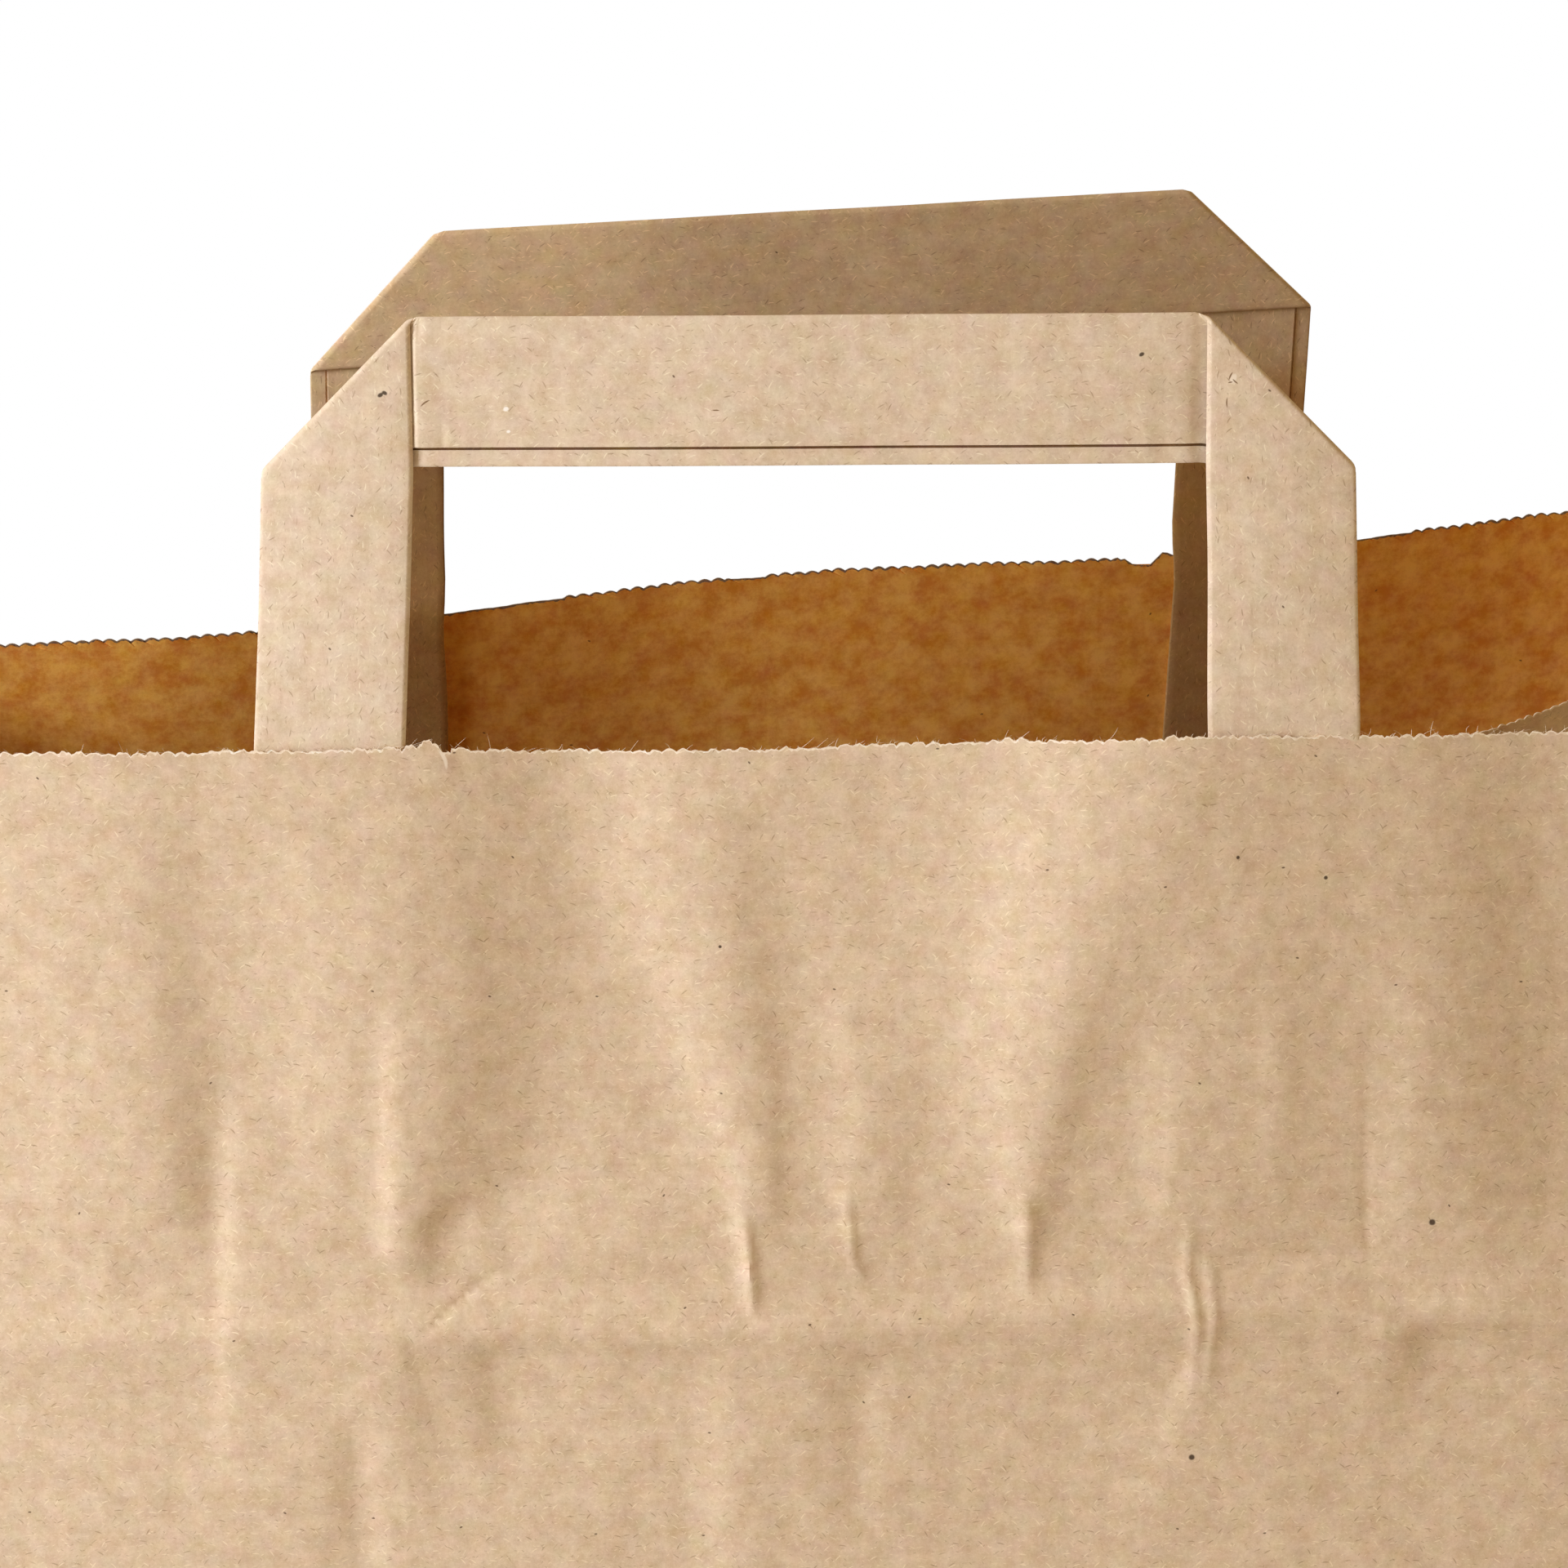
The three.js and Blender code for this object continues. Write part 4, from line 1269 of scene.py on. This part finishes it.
def back_wear(rows):
    """The back handle is twisted a little, and its tape is slimmer about the middle of the legs and the grip.

    On the photo's left, the leg bends towards the middle as it goes down, and the grip bends back.
    """
    half_tape = tape_width / 2
    aside = np.abs(rows.across) - (half_handle - half_tape)
    above = np.maximum(rows.up - (turn_up + half_tape), -half_tape)
    across = rows.across - np.sign(rows.across) * back_slimming * aside * smooth(aside, -26, -half_tape)
    across = across - leg_bend * smooth(rows.up, 18, -20) * (rows.across > 0)
    up = rows.up - back_slimming * above * smooth(rows.up, 10, turn_up)
    twist = -back_twist * np.maximum(rows.up, 0) * rows.across / half_handle
    past_bend = rows.across - grip_bend_from
    soft_bend = (past_bend + np.sqrt(past_bend ** 2 + grip_bend_softness)) / 2
    bent = -grip_bend * soft_bend * smooth(rows.up, *stands_free)
    return rows._replace(across=across + bend_aside * bent, up=up + bend_down * bent,
                         inward=rows.inward + twist + bent)


tape_wave_height = 0.3
looks_inward = 0.25


def tape_handle(name, node, rows, placed, seed, leg_camber, bow, flat_start):
    """One handle: the stations bowed and rippled a little, then put in place."""
    waves = ripples(seed, 18, 18, 90)
    free = smooth(rows.up, *stands_free)
    middle_of_leg = np.sign(rows.across) * (half_handle - tape_width / 2)
    on_leg = smooth(np.abs(rows.across), grip_end - 2, grip_end + 1)
    camber = leg_camber * ((rows.across - middle_of_leg) / (tape_width / 2)) ** 2 * on_leg
    bowed = bow * (rows.across / half_handle) ** 2
    bend = free * (tape_wave_height * waves(rows.across, rows.up) + camber + bowed)
    points = placed(rows.across, rows.up, rows.inward + bend).reshape(-1, 3)
    faces = grid_faces(*rows.across.shape)
    flat = np.stack([rows.along + flat_start, places_across + 0 * rows.along], axis=-1).reshape(-1, 2)
    tape_finishes = [tape_outside, tape_inside, seam_painted_shadow]
    piece = paper_piece(name, points, faces, tape_finishes, np.zeros(len(faces)), flat, sharp=50)
    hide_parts(node)
    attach(piece, "root")
    return piece


def finish_inner_faces(piece, inward):
    """Faces that look into the bag take the browner finish."""
    for face in piece.data.polygons:
        face.material_index = 1 if face.normal @ inward > looks_inward else 0


def paint_seam_shadow(piece):
    """Faces down in the seam take the dark finish: painted shadow in the groove under the upper ply."""
    shadowed_groove = np.isclose(lift, groove_lift) & (places_across > seam_from_edge / 2)
    for face in piece.data.polygons:
        if len(face.vertices) == 4 and any(shadowed_groove[corner % len(lift)] for corner in face.vertices):
            face.material_index = 2


front_bend, back_bend = math.radians(-2), math.radians(10)
front_shift, back_shift = 0.0, 2.0
front_place = handle_place(front_sheet, front_panel, 1, front_shift, front_bend)
back_place = handle_place(back_sheet, back_panel, -1, back_shift, back_bend)
front_rows = front_wear(tape_rows(front_splay))
back_rows = back_wear(tape_rows(back_splay))
front_handle = tape_handle("front_tape", "front_handle", front_rows, front_place, 3, 0.35, 1.2, 0)
back_handle = tape_handle("back_tape", "back_handle", back_rows, back_place, 8, 0, 0.4, back_flat_start)
finish_inner_faces(front_handle, Vector((0, 1, 0)))
finish_inner_faces(back_handle, Vector((0, -1, 0)))
paint_seam_shadow(front_handle)
print(f"{front_handle.name}, {back_handle.name}: {len(front_handle.data.polygons)} faces each")

# %% [markdown]
# ## Patches over the leg ends
# Inside the bag, a strip of paper is glued over the ends of both legs, flat on the panel and stepping up
# over each leg. It is seen only from above, but it is what holds the handle, so it is a piece of its
# own.

# %% Patches
patch_top, patch_past_legs, patch_margin, patch_step = 42.0, 4.0, 12.0, 3.0
patch_low = -leg_depth - patch_past_legs
patch_flat, patch_far_shift = [400, 300], [0, 90]
patch_paper = kraft("patch_paper", tone(216, 183, 142), tone(194, 158, 117), tone(126, 90, 54))


def leg_span(splay):
    """The inner and outer edge of all that one leg covers under the patch."""
    edges = [leg_outer(splay, patch_low), leg_outer(splay, -patch_top)]
    return min(edges) - tape_width - glue_gap, max(edges) + glue_gap


def patch_height(across, splay):
    """How far the patch stands off the panel: close to it, and over the legs."""
    over = 0.0
    for way, side in ((-1, "left"), (1, "right")):
        inner, outer = leg_span(splay[side])
        reach = way * across
        within = 1 - smooth(reach, outer, outer + patch_step)
        over = over + smooth(reach, inner - patch_step, inner) * within
    return glue_gap + over * (tape_thickness + glue_gap)


def handle_patch(name, node, place, splay):
    """One patch: two faces of a grid on the panel, closed around the border."""
    half = max(leg_span(angle)[1] for angle in splay.values()) + patch_step + patch_margin
    columns, rows = spaced(-half, half, 1.6), spaced(patch_low, -patch_top, 2.0)
    across, up = np.meshgrid(columns, rows)
    raised = patch_height(across, splay)
    near = place(across, up, raised).reshape(-1, 3)
    far = place(across, up, raised + paper).reshape(-1, 3)
    wide, tall, count = len(columns), len(rows), near.shape[0]
    faces = []
    for row in range(tall - 1):
        for column in range(wide - 1):
            a = row * wide + column
            faces += [(a, a + 1, a + wide + 1, a + wide)]
            faces += [(a + count, a + wide + count, a + wide + 1 + count, a + 1 + count)]
    last_row = (tall - 1) * wide
    border = list(range(wide)) + [row * wide + wide - 1 for row in range(1, tall)]
    border += list(range(last_row + wide - 2, last_row - 1, -1))
    border += [row * wide for row in range(tall - 2, 0, -1)]
    for start, end in zip(border, border[1:] + border[:1]):
        faces.append((end, start, start + count, end + count))
    flat = np.stack([across.ravel(), up.ravel()], axis=-1) + patch_flat
    flat = np.concatenate([flat, flat + patch_far_shift])
    piece = paper_piece(name, np.concatenate([near, far]), faces, [patch_paper], np.zeros(len(faces)), flat)
    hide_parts(node)
    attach(piece, "root")
    return piece


front_inside = inside_of(front_sheet, 1, front_shift)
back_inside = inside_of(back_sheet, -1, back_shift)
front_patch = handle_patch("front_patch", "front_handle_patch", front_inside, front_splay)
back_patch = handle_patch("back_patch", "back_handle_patch", back_inside, back_splay)
for patch in (front_patch, back_patch):
    print(f"{patch.name}: {len(patch.data.polygons)} faces")

# %% [markdown]
# ## Fibres on the cut edge
# The toothed blade tears more than it cuts, so short fibres stand up along the rim. Hair particles would
# do, but a few hundred tiny bent tubes are real geometry that goes with the bag wherever it is used.

# %% Rim fibres
fibre_taper = np.array([1.0, 0.95, 0.85, 0.7, 0.35])
fibre_angles = (0.3, 2.4, 4.5)
fibre_sides = len(fibre_angles)
fibre_root_depth = 0.08
fibre_lengths, fibre_widths = (0.4, 1.4), (0.028, 0.052)
long_share, long_gain = 0.12, 1.6
plain_share, tuft_share = 0.4, 0.5


def fibre(draw, root, outward):
    """Points of one three-sided tube that leans along the rim and curls at random."""
    length = draw.uniform(*fibre_lengths) * (long_gain if draw.random() < long_share else 1.0)
    thick = draw.uniform(*fibre_widths)
    lean_way = unit(np.array([draw.normal(0, 1.3), 0, 0.75]) + outward * draw.normal(0.1, 0.4))
    curl = np.array([draw.normal(0, 0.8), draw.normal(0, 0.5), draw.normal(-0.1, 0.5)])
    steps = np.linspace(0, 1, len(fibre_taper))
    centres = [root + lean_way * length * step + curl * length * step * step * 0.5 for step in steps]
    ring = [np.array([math.cos(angle), math.sin(angle), 0]) for angle in fibre_angles]
    widths = thick * fibre_taper
    return np.array([centre + width * way for centre, width in zip(centres, widths) for way in ring])


def fibre_faces(first):
    """Faces of one tube whose points start at a number: its sides and both ends."""
    faces = []
    for step in range(len(fibre_taper) - 1):
        for corner in range(fibre_sides):
            a = first + step * fibre_sides + corner
            b = first + step * fibre_sides + (corner + 1) % fibre_sides
            faces.append((a, b, b + fibre_sides, a + fibre_sides))
    last = first + (len(fibre_taper) - 1) * fibre_sides
    return faces + [(first + 2, first + 1, first), (last, last + 1, last + 2)]


def rim_fibres():
    """Fibres along the front rim, in tufts; the back rim is cut clean."""
    draw = np.random.default_rng(77)
    front = rim_names[rim_ring[1] < 1]
    rim = outer_points[front] * 0.5 + inner_points[front] * 0.5
    outward = unit(outer_points[front] - inner_points[front])
    points, faces = [], []
    for at in range(len(rim)):
        tufted = 0.5 + 0.5 * math.sin(at / 23.0) * math.sin(at / 61.0 + 1)
        if draw.random() > plain_share + tuft_share * tufted ** 3:
            continue
        faces += fibre_faces(len(points) * len(fibre_taper) * fibre_sides)
        points.append(fibre(draw, rim[at] - np.array([0, 0, fibre_root_depth]), outward[at]))
    points = np.concatenate(points)
    flat = points[:, [0, 2]]
    return paper_piece("rim_fibres", points, faces, [finishes["edge"]], np.zeros(len(faces)), flat)


fibres = rim_fibres()
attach(fibres, "root")
print(f"{len(fibres.data.polygons) // len(fibre_faces(0))} fibres on the rim")
